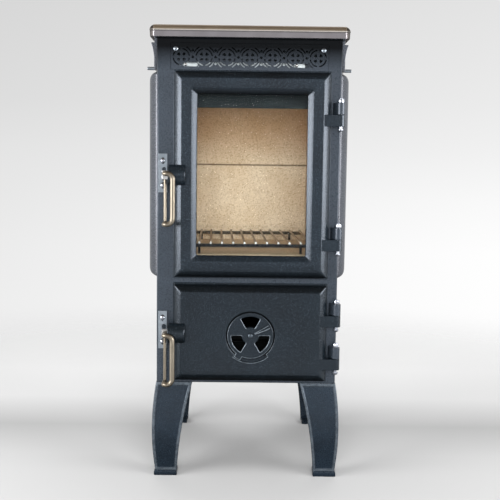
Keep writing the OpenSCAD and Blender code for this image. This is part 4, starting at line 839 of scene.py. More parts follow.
def legSection(height):  # outline of both webs at one height, in mm from the outer corner, and how much rubbed-edge wear and painted highlight its rims carry
    form, rim = legForm, legForm["rim"]
    t = height / form["height"]
    face = -form["bulge"] * 4 * t * (1 - t)
    wide = form["foot"] + (form["top"] - form["foot"]) * t - form["curve"] * 4 * t * (1 - t)
    sinkZ = smoothStep(height, form["toe"] + 2, form["toe"] + 4.5)
    sinkZ *= 1 - smoothStep(height, form["height"] - rim - 2, form["height"] - rim)
    web, raised, length = [], [], wide - face
    far = length - rim
    stops = [0.9, 2.4, rim - 0.9, rim + 0.1, rim + 1.1, length * 0.3, length * 0.5, length * 0.7, far - 1.6, far - 0.6,
             far + 0.4, length - form["corner"] - 0.3]
    for along in stops:
        sink = form["sink"] * sinkZ * smoothStep(along, rim - 0.9, rim + 1.1)
        sink *= 1 - smoothStep(along, far - 1.6, far + 0.4)
        web.append((wide - along, face + sink))
        raised.append(1 - sink / form["sink"])
    bend, inside = form["corner"], face + form["thick"]
    corner = [(face + bend * (1 - math.sin(a)), face + bend * (1 - math.cos(a))) for a in (0, math.pi / 8, math.pi / 4)]
    half = [(wide - 0.2, face + 0.8)] + web + corner[:2]
    inner = [(wide, face + 2.0), (wide, inside - 1.2), (wide - 1.2, inside), (inside + 2, inside)]
    outer = half + [corner[2]] + [(y, x) for x, y in reversed(half)]
    back = [(y, x) for x, y in inner] + inner[::-1]
    edge = [1.0] + raised + [1.0, 1.0]
    return outer + back, [w * form["rimTone"] for w in edge + [1.0] + edge[::-1]] + [0.0] * len(back)


def buildLeg(node):
    form, foot, out = legForm, legForm["foot"], legForm["toeOut"]
    low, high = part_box(node)
    signX, signY = -1 if "right" in node else 1, -1 if "rear" in node else 1
    cornerX = (low.x if signX > 0 else high.x) + signX * form["bulge"] * mm
    cornerY = (low.y if signY > 0 else high.y) + signY * form["bulge"] * mm

    def place(x, y, z):
        return (cornerX + signX * x * mm, cornerY + signY * y * mm, z * mm)
    shape = bmesh.new()
    heights = [form["height"] * i / form["rows"] for i in range(form["rows"] + 1)]
    top = form["height"] - form["rim"]
    heights += [form["toe"] + 2.8, form["toe"] + 3.6, top - 1.4, top - 0.6]
    loops = []
    for z in sorted(heights):
        section, raised = legSection(z)
        loops.append(loopOf(shape, [place(x, y, z) for x, y in section], raised))
    closeLoops(shape, loops)
    toe = []
    for reach, z in ((out - 0.8, 0), (out, 0.8), (out, form["toe"] * 0.55), (out - 0.5, form["toe"] * 0.66),
                     (1.4, form["toe"] - 0.6), (0.7, form["toe"])):
        end, inside = foot + min(0.0, reach - out), form["toeIn"]
        ring = [(-reach, -reach), (end, -reach), (end, inside), (inside, inside), (inside, end), (-reach, end)]
        toe.append(loopOf(shape, [place(p[0], p[1], z) for p in filletPath(ring, [1.6, 0.8, 0.8, 1.6, 0.8, 0.8], 3)]))
    closeLoops(shape, toe)
    for x0, x1, z0, z1 in ((4, foot - 1, 0.2, 6.0), (5, form["top"] - 18, form["height"] - 7, form["height"] - 0.1)):
        pushOutline(shape, filletPath(boxOf(x0, x1, x0, x1), 1.5, 3), roundLevels(z0, z1, 0.7), place)
    finishShape(shape, node)


for node in ("front_left_leg", "front_right_leg", "rear_left_leg", "rear_right_leg"):
    buildLeg(node)
print("legs")

socketKinds = {"Geometry": "Geometry", "Finish": "Material", "Section": "Object", "Slots": "Object",
               "Count": "Int", "Sides": "Int", "Wires": "Int", "Bars": "Int"}


def newTree(name, *labels):  # geometry comes in first and the finish last; what isn't named above is a Float
    tree = desk["tree"] = bpy.data.node_groups.new(name, "GeometryNodeTree")
    for label in ("Geometry",) + labels + ("Finish",):
        tree.interface.new_socket(label, in_out="INPUT", socket_type="NodeSocket" + socketKinds.get(label, "Float"))
    tree.interface.new_socket("Geometry", in_out="OUTPUT", socket_type="NodeSocketGeometry")
    return put("NodeGroupInput")


def endTree(given, geometry):
    whole = put("GeometryNodeRealizeInstances", {"Geometry": geometry})
    whole = put("GeometryNodeSetShadeSmooth", {"Geometry": whole, "Shade Smooth": True})
    put("NodeGroupOutput", {0: put("GeometryNodeSetMaterial", {"Geometry": whole, "Material": given["Finish"]})})
    return desk["tree"]


def growPiece(tree, values, points, node, name=None, extra=False, edges=(), finish=None, aims=None, sharp=35):
    name = name or camel(node)
    mesh = bpy.data.meshes.new(name + "Seed")
    mesh.from_pydata([tuple(p) for p in points], list(edges), [])
    if aims:
        layer = mesh.attributes.new("aim", "FLOAT_VECTOR", "POINT")
        for i, aim in enumerate(aims):
            layer.data[i].vector = aim
    draft = linked(name + "Seed", mesh)
    modifier = draft.modifiers.new("grow", "NODES")
    modifier.node_group = tree
    sockets = {item.name: item.identifier for item in tree.interface.items_tree if item.in_out == "INPUT"}
    for label, value in dict(values, Finish=finish or finishOf[node]).items():
        modifier[sockets[label]] = value
    done = bakeMesh(draft, name)
    done.set_sharp_from_angle(angle=math.radians(sharp))
    placePiece(name, done, node, extra, finish)


def attributeOf(name, kind):
    return put("GeometryNodeInputNamedAttribute", {"Name": name}, data_type=kind)


def storeOf(geometry, name, value):
    return put("GeometryNodeStoreNamedAttribute", {"Geometry": geometry, "Name": name, "Value": value},
               data_type="FLOAT", domain="POINT")


def vectorOf(x=0.0, y=0.0, z=0.0):
    return put("ShaderNodeCombineXYZ", {"X": x, "Y": y, "Z": z})


def transformOf(geometry, **feeds):
    return put("GeometryNodeTransform", {"Geometry": geometry, **feeds})


def movedUp(geometry, lift):
    return transformOf(geometry, Translation=vectorOf(z=lift))


def joinOf(*parts):
    made = put("GeometryNodeJoinGeometry")
    for part in reversed(parts):
        made.take({0: part})
    return made


def cutOf(kind, one, two):
    made = put("GeometryNodeMeshBoolean", operation=kind, solver="EXACT")
    return made.take({0 if kind == "DIFFERENCE" else 1: one}).take({1: two})


def instanceOf(points, instance, **feeds):
    return put("GeometryNodeInstanceOnPoints", {"Points": points, "Instance": instance, **feeds})


def spinOf(angle):
    return put("FunctionNodeAxisAngleToRotation", {"Axis": (0, 0, 1), "Angle": angle})


def onPoints(points, instance, twist=False):  # each instance stands along its point's aim
    turn = put("FunctionNodeAlignRotationToVector", {"Vector": attributeOf("aim", "FLOAT_VECTOR")}, axis="Z")
    if twist:
        swing = put("FunctionNodeRandomValue", {2: 0.0, 3: 6.283, "Seed": 7}, data_type="FLOAT")[1]
        turn = put("FunctionNodeRotateRotation", {"Rotation": turn, "Rotate By": spinOf(swing)}, rotation_space="LOCAL")
    return instanceOf(points, instance, Rotation=turn)


def firstOf(count, pitch):  # where a centred row of that many starts
    return (count - 1.0) * (pitch * -0.5)


def rowOf(instance, count, pitch, first):
    line = put("GeometryNodeMeshLine", {"Count": count, "Start Location": vectorOf(first), "Offset": vectorOf(pitch)})
    return put("GeometryNodeRealizeInstances", {"Geometry": instanceOf(line, instance)})


def cylinderOf(sides, radius, depth):
    return put("GeometryNodeMeshCylinder", {"Vertices": sides, "Radius": radius, "Depth": depth})


def ballOf(segments, rings, radius):
    return put("GeometryNodeMeshUVSphere", {"Segments": segments, "Rings": rings, "Radius": radius})


def cubeOf(size):
    return put("GeometryNodeMeshCube", {"Size": size})


def rodOf(radius, depth, sides):  # solid rod from the origin upwards
    return movedUp(cylinderOf(sides, radius, depth), depth * 0.5)


def shankOf(given, sides, lift):  # rod that ends a little above the origin
    return movedUp(rodOf(given["Shank radius"], given["Shank length"], sides), given["Shank length"] * -1.0 + lift)


screwKeys = ("Head radius", "Head height", "Shank radius", "Shank length", "Cross length", "Cross width")
boltKeys = screwKeys[:4] + ("Washer radius", "Washer height")
nutKeys = ("Radius", "Height", "Bolt radius", "Bolt end")


def hexBoltTree():  # hexagon head with turned corners, a washer and a shank below it
    given = newTree("hexBolt", *boltKeys)
    radius, height, washer = given["Head radius"], given["Head height"], given["Washer height"]
    head = movedUp(cylinderOf(6, radius, height), washer + height * 0.5)
    ball = movedUp(ballOf(48, 32, radius * 1.55), washer + height - radius * 1.44)
    plate = rodOf(given["Washer radius"], washer, 40)
    bolt = joinOf(cutOf("INTERSECT", head, ball), plate, shankOf(given, 24, washer + 0.0005))
    return endTree(given, onPoints(given, bolt, True))


def panScrewTree():  # domed head with a cross recess
    given = newTree("panScrew", *screwKeys)
    height, domeRadius = given["Head height"], given["Head radius"] * 1.35
    dome = movedUp(ballOf(40, 40, domeRadius), height - domeRadius)
    head = cutOf("INTERSECT", rodOf(given["Head radius"], height, 40), dome)
    sizes = (given["Cross length"], given["Cross width"])
    for x, y in (sizes, sizes[::-1]):
        head = cutOf("DIFFERENCE", head, movedUp(cubeOf(vectorOf(x, y, height)), height))
    return endTree(given, onPoints(given, joinOf(head, shankOf(given, 20, 0.0004)), True))


def hexNutTree():  # nut with both rims turned, on a bolt end that stands a little proud
    given = newTree("hexNut", *nutKeys)
    wide, height = given["Radius"] * 1.04, given["Height"]
    ball = transformOf(ballOf(48, 48, 1.0), Scale=vectorOf(wide, wide, height * 0.95))
    nut = cutOf("INTERSECT", rodOf(given["Radius"], height, 6), movedUp(ball, height * 0.5))
    return endTree(given, onPoints(given, joinOf(nut, rodOf(given["Bolt radius"], given["Bolt end"], 24)), True))


def curveOf(mesh):
    return put("GeometryNodeMeshToCurve", {"Mesh": mesh})


def circleOf(sides, radius):
    return put("GeometryNodeCurvePrimitiveCircle", {"Resolution": sides, "Radius": radius})


def tubeOf(path, section, **feeds):
    return put("GeometryNodeCurveToMesh", {"Curve": path, "Profile Curve": section, **feeds})


def sweepTree():  # carries a section along the seed's path
    given = newTree("sweep", "Section")
    path = put("GeometryNodeSetCurveNormal", {"Curve": curveOf(given)}, mode="Z_UP")
    section = curveOf(put("GeometryNodeObjectInfo", {"Object": given["Section"]})["Geometry"])
    return endTree(given, tubeOf(path, section, **{"Fill Caps": True}))


def barTree():  # round bar along the seed's path
    given = newTree("bar", "Radius", "Sides")
    return endTree(given, tubeOf(curveOf(given), circleOf(given["Sides"], given["Radius"]), **{"Fill Caps": True}))


hexBolt, panScrew, hexNut, sweep, bar = hexBoltTree(), panScrewTree(), hexNutTree(), sweepTree(), barTree()
print("node trees")

# Fasteners
ahead, behind, upward = (0, -1, 0), (0, 1, 0), (0, 0, 1)
rearY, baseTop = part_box("rear_wall")[1].y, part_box("base_plate")[1].z
flangeTop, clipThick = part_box("top_plate")[1].z + 6 * mm, 1.6 * mm
fasteners = {  # tree, sizes, aim and seat for one solid's middle and box
    "grille_screws": (panScrew, (4.4, 2.6, 2, 8, 4.6, 0.9), ahead, lambda at, box: (at.x, faceY - 1 * mm, at.z)),
    "strike_screws": (panScrew, (4.4, 2.6, 2, 8, 4.6, 0.9), ahead, lambda at, box: (at.x, faceY - 5 * mm, at.z)),
    "rear_wall_bolts": (hexBolt, (6.5, 3.4, 3.5, 9, 7.4, 1.0), behind, lambda at, box: (at.x, rearY, at.z)),
    "leg_bolts": (hexBolt, (6.5, 3.4, 3.5, 18, 7.4, 1.0), upward, lambda at, box: (at.x, at.y, baseTop)),
    "flue_bolts": (hexBolt, (5.2, 3.2, 3, 16, 5.9, 0.8), upward, lambda at, box: (at.x, at.y, flangeTop)),
    "glass_screws": (panScrew, (3, 1.6, 1.5, 5, 3.2, 0.7), behind, lambda at, box: (at.x, box[1].y - clipThick, at.z)),
    "hinge_nuts": (hexNut, (5.77, 7.2, 2.9, 8.4), upward, lambda at, box: (hingeAt.x, hingeAt.y, box[0].z)),
}
keysOf = {panScrew: screwKeys, hexBolt: boltKeys, hexNut: nutKeys}
for node, (tree, sizes, aim, seat) in fasteners.items():
    boxes = partsOf(node)
    values = {key: size * mm for key, size in zip(keysOf[tree], sizes)}
    growPiece(tree, values, [seat(middle(box), box) for box in boxes], node, aims=[aim] * len(boxes))

boltHead = [(0, -5.0), (1.6, -4.85), (3.0, -4.3), (4.1, -3.4), (4.75, -2.2), (4.95, -1.2), (4.95, 0.0), (3, 0.05),
            (3, 50.0), (0, 50.0)]
hingeBolts = bmesh.new()
for low, high in partsOf("hinge_bolts"):
    turnedPart(hingeBolts, [(radius * mm, height * mm) for radius, height in boltHead],
               lambda u, v, h: (hingeAt.x + u, hingeAt.y + v, low.z + 5.0 * mm + h), 32)
finishShape(hingeBolts, "hinge_bolts")
print("fasteners")

# Grille
grilleForm = {"count": 7, "pitch": 43.0, "ring": 14.0, "thick": 3.0, "lift": 1.0, "knobTravel": 13.0, "knobRadius": 2.6,
              "slotSpare": 10.0, "slotHeight": 7.2, "slotOff": 2.0, "slotRim": 1.2}
rosetteForm = {"wedge": (25, 40, 8), "wedgeIn": 4.2, "wedgeOut": 4.4, "arc": (8, 74, 14), "arcWide": 2.3,
               "diamond": 4.4, "diamondUp": 12.2, "outer": (5.2, 7.4), "outerStarts": (24, -62), "outerSpan": 38,
               "through": 12.0}


def grilleTree():
    given = newTree("rosetteGrille", "Count", "Pitch", "Ring radius", "Width", "Height", "Thickness", "Middle height",
                    "Slot length", "Slot height", "Slot rim", "Slots")
    form, ring, pitch, count = rosetteForm, given["Ring radius"], given["Pitch"], given["Count"]

    def ringBlock(inner, outer, start, span, steps):  # solid sector of a ring, from a bent grid
        start, span = math.radians(start), math.radians(span)
        grid = put("GeometryNodeMeshGrid", {"Size X": 1.0, "Size Y": 1.0, "Vertices X": steps, "Vertices Y": 2})
        at = put("ShaderNodeSeparateXYZ", {0: put("GeometryNodeInputPosition")})
        angle, reach = (at["X"] + 0.5) * span + start, outer - (at["Y"] + 0.5) * (outer - inner)
        bent = vectorOf(reach * mathOf("COSINE", angle), reach * mathOf("SINE", angle))
        flat = put("GeometryNodeSetPosition", {"Geometry": grid, "Position": bent})
        through = form["through"] * mm
        feeds = {"Mesh": flat, "Offset": (0, 0, 1), "Offset Scale": through, "Individual": False}
        up = put("GeometryNodeExtrudeMesh", feeds, mode="FACES")
        whole = joinOf(up, put("GeometryNodeFlipFaces", {"Mesh": flat}))
        return movedUp(put("GeometryNodeMergeByDistance", {"Geometry": whole, "Distance": 1e-6}), -through / 2)

    def stadium(grow, thick):  # a slot's outline as a block: a cylinder with its halves pulled apart
        tall = given["Slot height"] + grow * 2.0
        reach = (given["Slot length"] + grow * 2.0 - tall) * 0.5
        x = put("ShaderNodeSeparateXYZ", {0: put("GeometryNodeInputPosition")})["X"]
        shift = vectorOf(mathOf("SIGN", x + 1e-7) * reach)
        block = put("GeometryNodeSetPosition", {"Geometry": cylinderOf(32, tall * 0.5, thick), "Offset": shift})
        return put("GeometryNodeRealizeInstances", {"Geometry": instanceOf(spots, block)})

    wedge = ringBlock(form["wedgeIn"] * mm, ring - form["wedgeOut"] * mm, *form["wedge"])
    petal = joinOf(wedge, ringBlock(ring, ring + form["arcWide"] * mm, *form["arc"]))
    rosette = joinOf(*[transformOf(petal, Rotation=(0, 0, math.radians(angle))) for angle in (0, 90, 180, 270)])
    near, far = [ring + reach * mm for reach in form["outer"]]
    arcs = joinOf(*[ringBlock(near, far, start, form["outerSpan"], 10) for start in form["outerStarts"]])
    diamond = cubeOf((form["diamond"] * mm, form["diamond"] * mm, form["through"] * mm))
    links = [transformOf(diamond, Rotation=(0, 0, math.pi / 4))]
    for side in (1, -1):
        links.append(transformOf(links[0], Translation=(0, side * form["diamondUp"] * mm, 0)))
        turn = (0, 0, 0) if side > 0 else (0, 0, math.pi)
        links.append(transformOf(arcs, Translation=vectorOf(pitch * 0.5 * -side), Rotation=turn))
    first = firstOf(count, pitch)
    rosettes = rowOf(rosette, count, pitch, first)
    holes = joinOf(rosettes, rowOf(joinOf(*links), count - 1.0, pitch, first + pitch * 0.5))
    plate = cubeOf(vectorOf(given["Width"], given["Height"], given["Thickness"]))
    plate = cutOf("DIFFERENCE", transformOf(plate, Translation=vectorOf(y=given["Middle height"])), holes)
    spots = put("GeometryNodeObjectInfo", {"Object": given["Slots"]})["Geometry"]
    plate = cutOf("UNION", plate, stadium(given["Slot rim"], given["Thickness"] + 0.0002))
    plate = cutOf("DIFFERENCE", plate, stadium(given["Slot rim"] * 0.0, 0.02))
    return endTree(given, instanceOf(given, transformOf(plate, Rotation=(math.pi / 2, 0, 0))))


def buildGrille():
    form = grilleForm
    low, high = grilleBox
    rosetteZ = grilleEdge[2] + (grilleEdge[3] - grilleEdge[2]) / 2 - form["lift"] * mm
    slotAt = (form["knobTravel"] / 2 + form["slotOff"]) * mm
    spots = bpy.data.meshes.new("slotSpots")
    knobs = [middle(pair) for pair in partsOf("air_slide_knobs")]
    spots.from_pydata([(p.x + slotAt, p.z - rosetteZ, 0) for p in knobs], [], [])
    marker = linked("slotSpots", spots)
    values = {"Count": form["count"], "Pitch": form["pitch"] * mm, "Ring radius": form["ring"] * mm,
              "Width": high.x - low.x, "Height": high.z - low.z, "Thickness": form["thick"] * mm,
              "Middle height": form["lift"] * mm,
              "Slot length": (form["knobTravel"] + 2 * form["knobRadius"] + form["slotSpare"]) * mm,
              "Slot height": form["slotHeight"] * mm, "Slot rim": form["slotRim"] * mm, "Slots": marker}
    growPiece(grilleTree(), values, [(0, faceY + 0.5 * mm, rosetteZ)], "vent_grille", sharp=30)
    bpy.data.objects.remove(marker)


slideForm = {"height": 12.5, "corner": 2.0, "thick": 1.2, "edge": 0.3, "foldInset": 2.0}


def buildSlide():  # strip behind the grille, its top edge folded back
    form = slideForm
    low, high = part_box("air_slide")
    top, thick = low.z + form["height"] * mm, form["thick"] * mm
    shape = bmesh.new()
    outline = filletPath(boxOf(low.x, high.x, low.z, top), form["corner"] * mm, 4)
    pushOutline(shape, outline, roundLevels(low.y, low.y + thick, form["edge"] * mm, 2), lambda u, v, h: (u, h, v))
    fold = [(low.y, top - 1.0 * mm), (low.y + 0.3 * mm, top - 0.2 * mm), (high.y - 0.2 * mm, top + 1.6 * mm),
            (high.y, top + 0.9 * mm), (low.y + thick, top - 1.4 * mm)]
    inset = form["foldInset"] * mm
    ends = [loopOf(shape, [(x, p[0], p[1]) for p in fold]) for x in (low.x + inset, high.x - inset)]
    joinLoops(shape, ends)
    for end in ends:
        shape.faces.new(end)
    finishShape(shape, "air_slide", "slideStrip")


buildGrille()
buildSlide()
print("grille and slide")

# Top rail
railForm = {"thick": 8.0, "nose": 11.0, "band": 11.9, "corner": 4.0, "sink": 12.0}


def pathEdges(count, closed=False):
    return [(i, i + 1) for i in range(count - 1)] + ([(count - 1, 0)] if closed else [])


def buildRail():
    low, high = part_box("top_rail")
    thick, nose, band, bend = railForm["thick"], railForm["nose"], railForm["band"], railForm["corner"] * mm
    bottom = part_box("top_plate")[1].z - railForm["sink"] * mm
    inX, front = high.x - thick * mm, low.y + thick * mm
    path = [Vector((-inX, high.y, bottom))]
    for i in range(9):
        a = math.pi / 2 * i / 8
        path.append(Vector((-inX + bend - bend * math.cos(a), front + bend - bend * math.sin(a), bottom)))
    path += [Vector((-p.x, p.y, p.z)) for p in reversed(path)]
    turns = [math.radians(angle) for angle in range(2, 74, 6)]
    arc = [(thick - nose + nose * math.cos(a), band + nose * math.sin(a)) for a in turns]
    outline = [(0, 0.3), (0.3, 0), (5.5, 0), (6.4, 0.25), (6.8, 0.8), (7.3, band - 1.7), (7.0, band - 1.2),
               (6.1, band - 0.9), (6.1, band - 0.2), (7.3, band)] + arc + [(0.5, 22.6), (0, 22.4)]
    mesh = bpy.data.meshes.new("railSection")
    mesh.from_pydata([(x * mm, -y * mm, 0) for x, y in outline], pathEdges(len(outline), True), [])
    section = linked("railSection", mesh)
    growPiece(sweep, {"Section": section}, path, "top_rail", edges=pathEdges(len(path)), sharp=20)
    bpy.data.objects.remove(section)


buildRail()
print("rail")

# Handles
gripForm = {"grip": 4.74, "thin": 2.9, "forward": 25.5, "side": 16.0, "bend": 11.0, "elbow": 4.9, "length": 95.0,
            "spindleIn": 5.5, "barDrop": 8.0, "sides": 28}
gripRise = {"main_handle": 3.0, "ash_handle": -1.0}


def buildHandle(node, catchNode):
    form, grip, name = gripForm, gripForm["grip"], camel(node)
    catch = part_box(catchNode)
    x, y, z = catch[0].x + form["spindleIn"] * mm, faceY - bossForm["spindleOut"] * mm, middle(catch).z
    top, bottom = z + gripRise[node] * mm, z + (gripRise[node] - form["length"]) * mm
    gripX, gripY, rootY = x + form["side"] * mm, y - form["forward"] * mm, y + 1 * mm
    corners = [(x, rootY, top), (x, gripY, top), (gripX, gripY, top)]
    corners += [(u, v, bottom) for u, v, h in reversed(corners)]
    elbow, bend = form["elbow"] * mm, form["bend"] * mm
    path = filletPath(corners, [0, elbow, bend, bend, elbow, 0], 10, closed=False)
    values = {"Radius": grip * mm, "Sides": form["sides"]}
    growPiece(bar, values, path, node, edges=pathEdges(len(path)), sharp=60)
    thin = [(x, y, z - form["barDrop"] * mm), (x, y, bottom)]
    growPiece(bar, dict(values, Radius=form["thin"] * mm), thin, node, name + "Bar", True, pathEdges(2), sharp=60)
    arc = [(grip * math.sin(a), -grip * math.cos(a)) for a in [math.pi * i / 12 for i in range(1, 12)]]
    profile = [(radius * mm, height * mm) for radius, height in [(0, -grip)] + arc + [(0, grip)]]
    knobs = bmesh.new()
    for height in (top, bottom):
        turnedPart(knobs, profile, lambda u, v, h: (x + u, y + h, height + v), form["sides"])
    finishShape(knobs, node, name + "Ends", True)


buildHandle("main_handle", "main_catch")
buildHandle("ash_handle", "ash_catch")
print("handles")

# Seals
ropeForm = {"wide": 3.7, "deep": 2.65, "strands": 4.0, "twist": 900.0, "bump": 0.45, "corner": 5.0, "inset": 13.5,
            "depth": -3.05, "steps": 760}


def ropeTree():  # each rope's surface swells where its strands cross
    given = newTree("rope", "Half width", "Half depth", "Twist", "Strands", "Bump")
    path = put("GeometryNodeResampleCurve", {"Curve": curveOf(given), "Count": ropeForm["steps"]}, mode="COUNT")
    path = storeOf(path, "along", put("GeometryNodeSplineParameter")["Length"])
    ring = storeOf(circleOf(20, 1.0), "around", put("GeometryNodeSplineParameter")["Factor"])
    ring = transformOf(ring, Scale=vectorOf(given["Half width"], given["Half depth"], 1.0))
    swing = attributeOf("along", "FLOAT") * given["Twist"]
    around = attributeOf("around", "FLOAT") * (2 * math.pi) * given["Strands"]
    weave = mathOf("COSINE", swing + around) * mathOf("COSINE", swing - around)
    lift = (weave - 1.0) * (given["Bump"] * 0.5)
    push = put("ShaderNodeVectorMath", {0: put("GeometryNodeInputNormal"), "Scale": lift}, operation="SCALE")
    return endTree(given, put("GeometryNodeSetPosition", {"Geometry": tubeOf(path, ring), "Offset": push}))


rope = ropeTree()
for name, node, edge in (("mainDoorRope", "main_door_seal", mainEdge), ("ashDoorRope", "ash_door_seal", ashEdge)):
    outline = filletPath(rectOf(edge, ropeForm["inset"]), ropeForm["corner"] * mm, 6)
    values = {"Half width": ropeForm["wide"] * mm, "Half depth": ropeForm["deep"] * mm, "Twist": ropeForm["twist"],
              "Strands": ropeForm["strands"], "Bump": ropeForm["bump"] * mm}
    ring = onPlate(outline, ropeForm["depth"])
    growPiece(rope, values, ring, node, name, edges=pathEdges(len(ring), True), sharp=180)
print("seals")

# Rack and grate
rackForm = {"wires": 12, "pitch": 22.4, "wire": 2.2, "barHeight": 7.0, "barHalf": 1.5, "barOver": 4.0, "barInset": 3.0,
            "footHalf": 2.5, "footDeep": 1.4, "turn": 1.6, "height": 20.0, "sunk": 0.2, "tip": 0.15}


def rackTree():
    given = newTree("rackWires", "Wires", "Pitch", "Wire radius", "Length", "Turn")
    wire = transformOf(cylinderOf(20, given["Wire radius"], given["Length"]), Rotation=(math.pi / 2, 0, 0))
    row = rowOf(wire, given["Wires"], given["Pitch"], firstOf(given["Wires"], given["Pitch"]))
    return endTree(given, instanceOf(given, row, Rotation=spinOf(given["Turn"])))


def wireEndTree():  # small pale buttons where the wires are cropped: bare cut steel, painted pale as glints
    given = newTree("wireEnds", "Radius")
    return endTree(given, onPoints(given, transformOf(ballOf(16, 10, given["Radius"]), Scale=(1.0, 1.0, 0.8))))


def buildRack():
    form = rackForm
    low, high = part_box("wire_rack")
    centre, turn, wire, pitch = (low + high) / 2, math.radians(form["turn"]), form["wire"], form["pitch"]
    rackZ, span = low.z + form["height"] * mm, (form["wires"] - 1) * pitch
    wireZ = rackZ + (wire - form["sunk"]) * mm
    length = ((high.y - low.y) / mm - (span + 2 * wire) * math.sin(turn)) / math.cos(turn) - 0.2

    def place(u, v, h):
        x, y = u * math.cos(turn) - v * math.sin(turn), u * math.sin(turn) + v * math.cos(turn)
        return (centre.x + x * mm, centre.y + y * mm, rackZ + h * mm)
    values = {"Wires": form["wires"], "Pitch": pitch * mm, "Wire radius": wire * mm, "Length": length * mm,
              "Turn": turn}
    growPiece(rackTree(), values, [(centre.x, centre.y, wireZ)], "wire_rack", "rackWires")
    ends, aims = [], []
    for i in range(form["wires"]):
        for sign in (-1, 1):
            ends.append(place((i - (form["wires"] - 1) / 2) * pitch, sign * (length / 2 - 0.5), wire - form["sunk"]))
            aims.append((-sign * math.sin(turn), sign * math.cos(turn), 0))
    growPiece(wireEndTree(), {"Radius": (wire + form["tip"]) * mm}, ends, "wire_rack", "rackWireEnds", True,
              finish=finishes["wireTip"], aims=aims)
    shape = bmesh.new()
    for y in (3 - length / 2, length / 2 - form["barInset"]):
        reach, half, deep = span / 2 + form["barOver"], form["barHalf"], form["footDeep"]
        pushOutline(shape, boxOf(-reach, reach, y - half, y + half), roundLevels(-form["barHeight"], 0, 0.5, 2), place)
        for x in (pitch - span / 2, span / 2 - pitch):
            foot = boxOf(x - form["footHalf"], x + form["footHalf"], y - deep, y + deep)
            pushOutline(shape, foot, roundLevels(-form["height"] + 0.02, -2, 0.4, 2), place)
    finishShape(shape, "wire_rack", "rackBars", True, finishes["rackBar"])


grateForm = {"pitch": 12.0, "bar": 6.0, "endGap": 8.0, "sideGap": 0.8, "rimX": 7.0, "rimY": 5.0, "corner": 2.0,
             "edge": 0.7}


def grateTree():  # bars that narrow downwards
    given = newTree("grateBars", "Bars", "Pitch", "Bar width", "Bar length", "Bar height")
    wide = given["Bar width"]
    cone = put("GeometryNodeMeshCone", {"Vertices": 4, "Radius Top": wide * 0.70, "Radius Bottom": wide * 0.5,
                                        "Depth": given["Bar height"]})
    slope = vectorOf(1.0, mathOf("DIVIDE", given["Bar length"], wide), 1.0)
    bars = transformOf(transformOf(cone, Rotation=(0, 0, math.pi / 4)), Scale=slope)
    row = rowOf(bars, given["Bars"], given["Pitch"], firstOf(given["Bars"], given["Pitch"]))
    return endTree(given, instanceOf(given, row))


def buildGrate():
    form = grateForm
    low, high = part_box("ash_grate")
    size, pitch = high - low, form["pitch"] * mm
    values = {"Bars": int(size.x / pitch), "Pitch": pitch, "Bar width": form["bar"] * mm,
              "Bar length": size.y - form["endGap"] * mm, "Bar height": size.z - form["sideGap"] * mm}
    growPiece(grateTree(), values, [(low + high) / 2], "ash_grate", "grateBars")
    shape = bmesh.new()
    rimX, rimY, edge = form["rimX"] * mm, form["rimY"] * mm, form["edge"] * mm
    outlines = (boxOf(low.x, high.x, low.y, high.y), boxOf(low.x + rimX, high.x - rimX, low.y + rimY, high.y - rimY))
    levels = [(edge, low.z), (0, low.z + edge), (0, high.z - edge), (edge, high.z)]
    walls = []
    for outline, sign in zip(outlines, (-1, 1)):
        rounded = filletPath(outline, form["corner"] * mm, 3)
        rings = [(growOutline(rounded, sign * inset), z) for inset, z in levels]
        walls.append([loopOf(shape, [(p.x, p.y, z) for p in ring]) for ring, z in rings])
    for wall in walls:
        joinLoops(shape, wall)
    fillFlat(shape, [wall[0] for wall in walls])
    fillFlat(shape, [wall[-1] for wall in walls])
    finishShape(shape, "ash_grate", "grateFrame", True)


buildRack()
buildGrate()
print("rack and grate")

# The other cast and sheet parts keep the solids' own shapes, with softened edges (mm)
boards = ("lower_back_board", "upper_back_board", "left_board", "right_board", "floor_board")
softEdges = {
    "top_plate": 0.9, "hob_lid": 0.35, "flue_collar": 0.8, "main_catch": 0.7, "ash_catch": 0.7,
    "upper_strike_plate": 0.35, "lower_strike_plate": 0.35, **dict.fromkeys(boards, 1.3), "air_deflector": 0.4,
    "baffle_plate": 0.8, "hearth_plate": 0.6, "base_plate": 0.6, "rear_wall": 0.5, "glass_clips": 0.3,
    "side_studs": 0.6, "air_slide_knobs": 0.3, "ash_pan": 0.25,
}
for node, width in softEdges.items():
    shape = solidOf(node)
    bmesh.ops.dissolve_limit(shape, angle_limit=math.radians(0.6), verts=shape.verts, edges=shape.edges)
    finishShape(shape, node, node + "Cast", edge=width)
for name, thing in cadNodes.items():
    thing.data.materials.clear()
    thing.data.materials.append(finishOf[name])
print("softened parts:", len(softEdges))

# Floor: pale, with painted shade under the stove and painted light behind it, and fading out at its rim
floorForm = {"radius": 3.2, "sides": 96, "fade": (0.55, 1.9), "mirrored": (0.3, 0.7), "depth": (-0.5, 0.7),
             "contact": 0.3, "tones": [(0, 0.48), (0.38, 0.50), (0.55, 0.42), (0.75, 0.70), (1, 0.80)]}
floorMesh = bpy.data.meshes.new("floor")
rim = arcOf(floorForm["radius"], 0, 360, floorForm["sides"])[:-1]
floorMesh.from_pydata([(p.x, p.y, 0) for p in rim], [], [list(range(len(rim)))])
floor = linked("floor", floorMesh)
floor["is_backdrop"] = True
shader = newFinish("paleFloor")
depth = spreadOf(axisOf("Y"), 0, 1, *floorForm["depth"])
# tones by depth: painted shade under the stove, painted light behind it
tone = rampOf(depth, [(at, plainGrey(value)) for at, value in floorForm["tones"]])
shade = put("ShaderNodeAmbientOcclusion", {"Distance": floorForm["contact"]}, samples=8)["AO"]
# painted shade from ambient occlusion close to the stove
tone = blendOf(spreadOf(shade, 1, 0, 0.02, 0.40), tone, plainGrey(0.34))
reach = put("ShaderNodeVectorMath", {0: desk["place"]}, operation="LENGTH")["Value"]
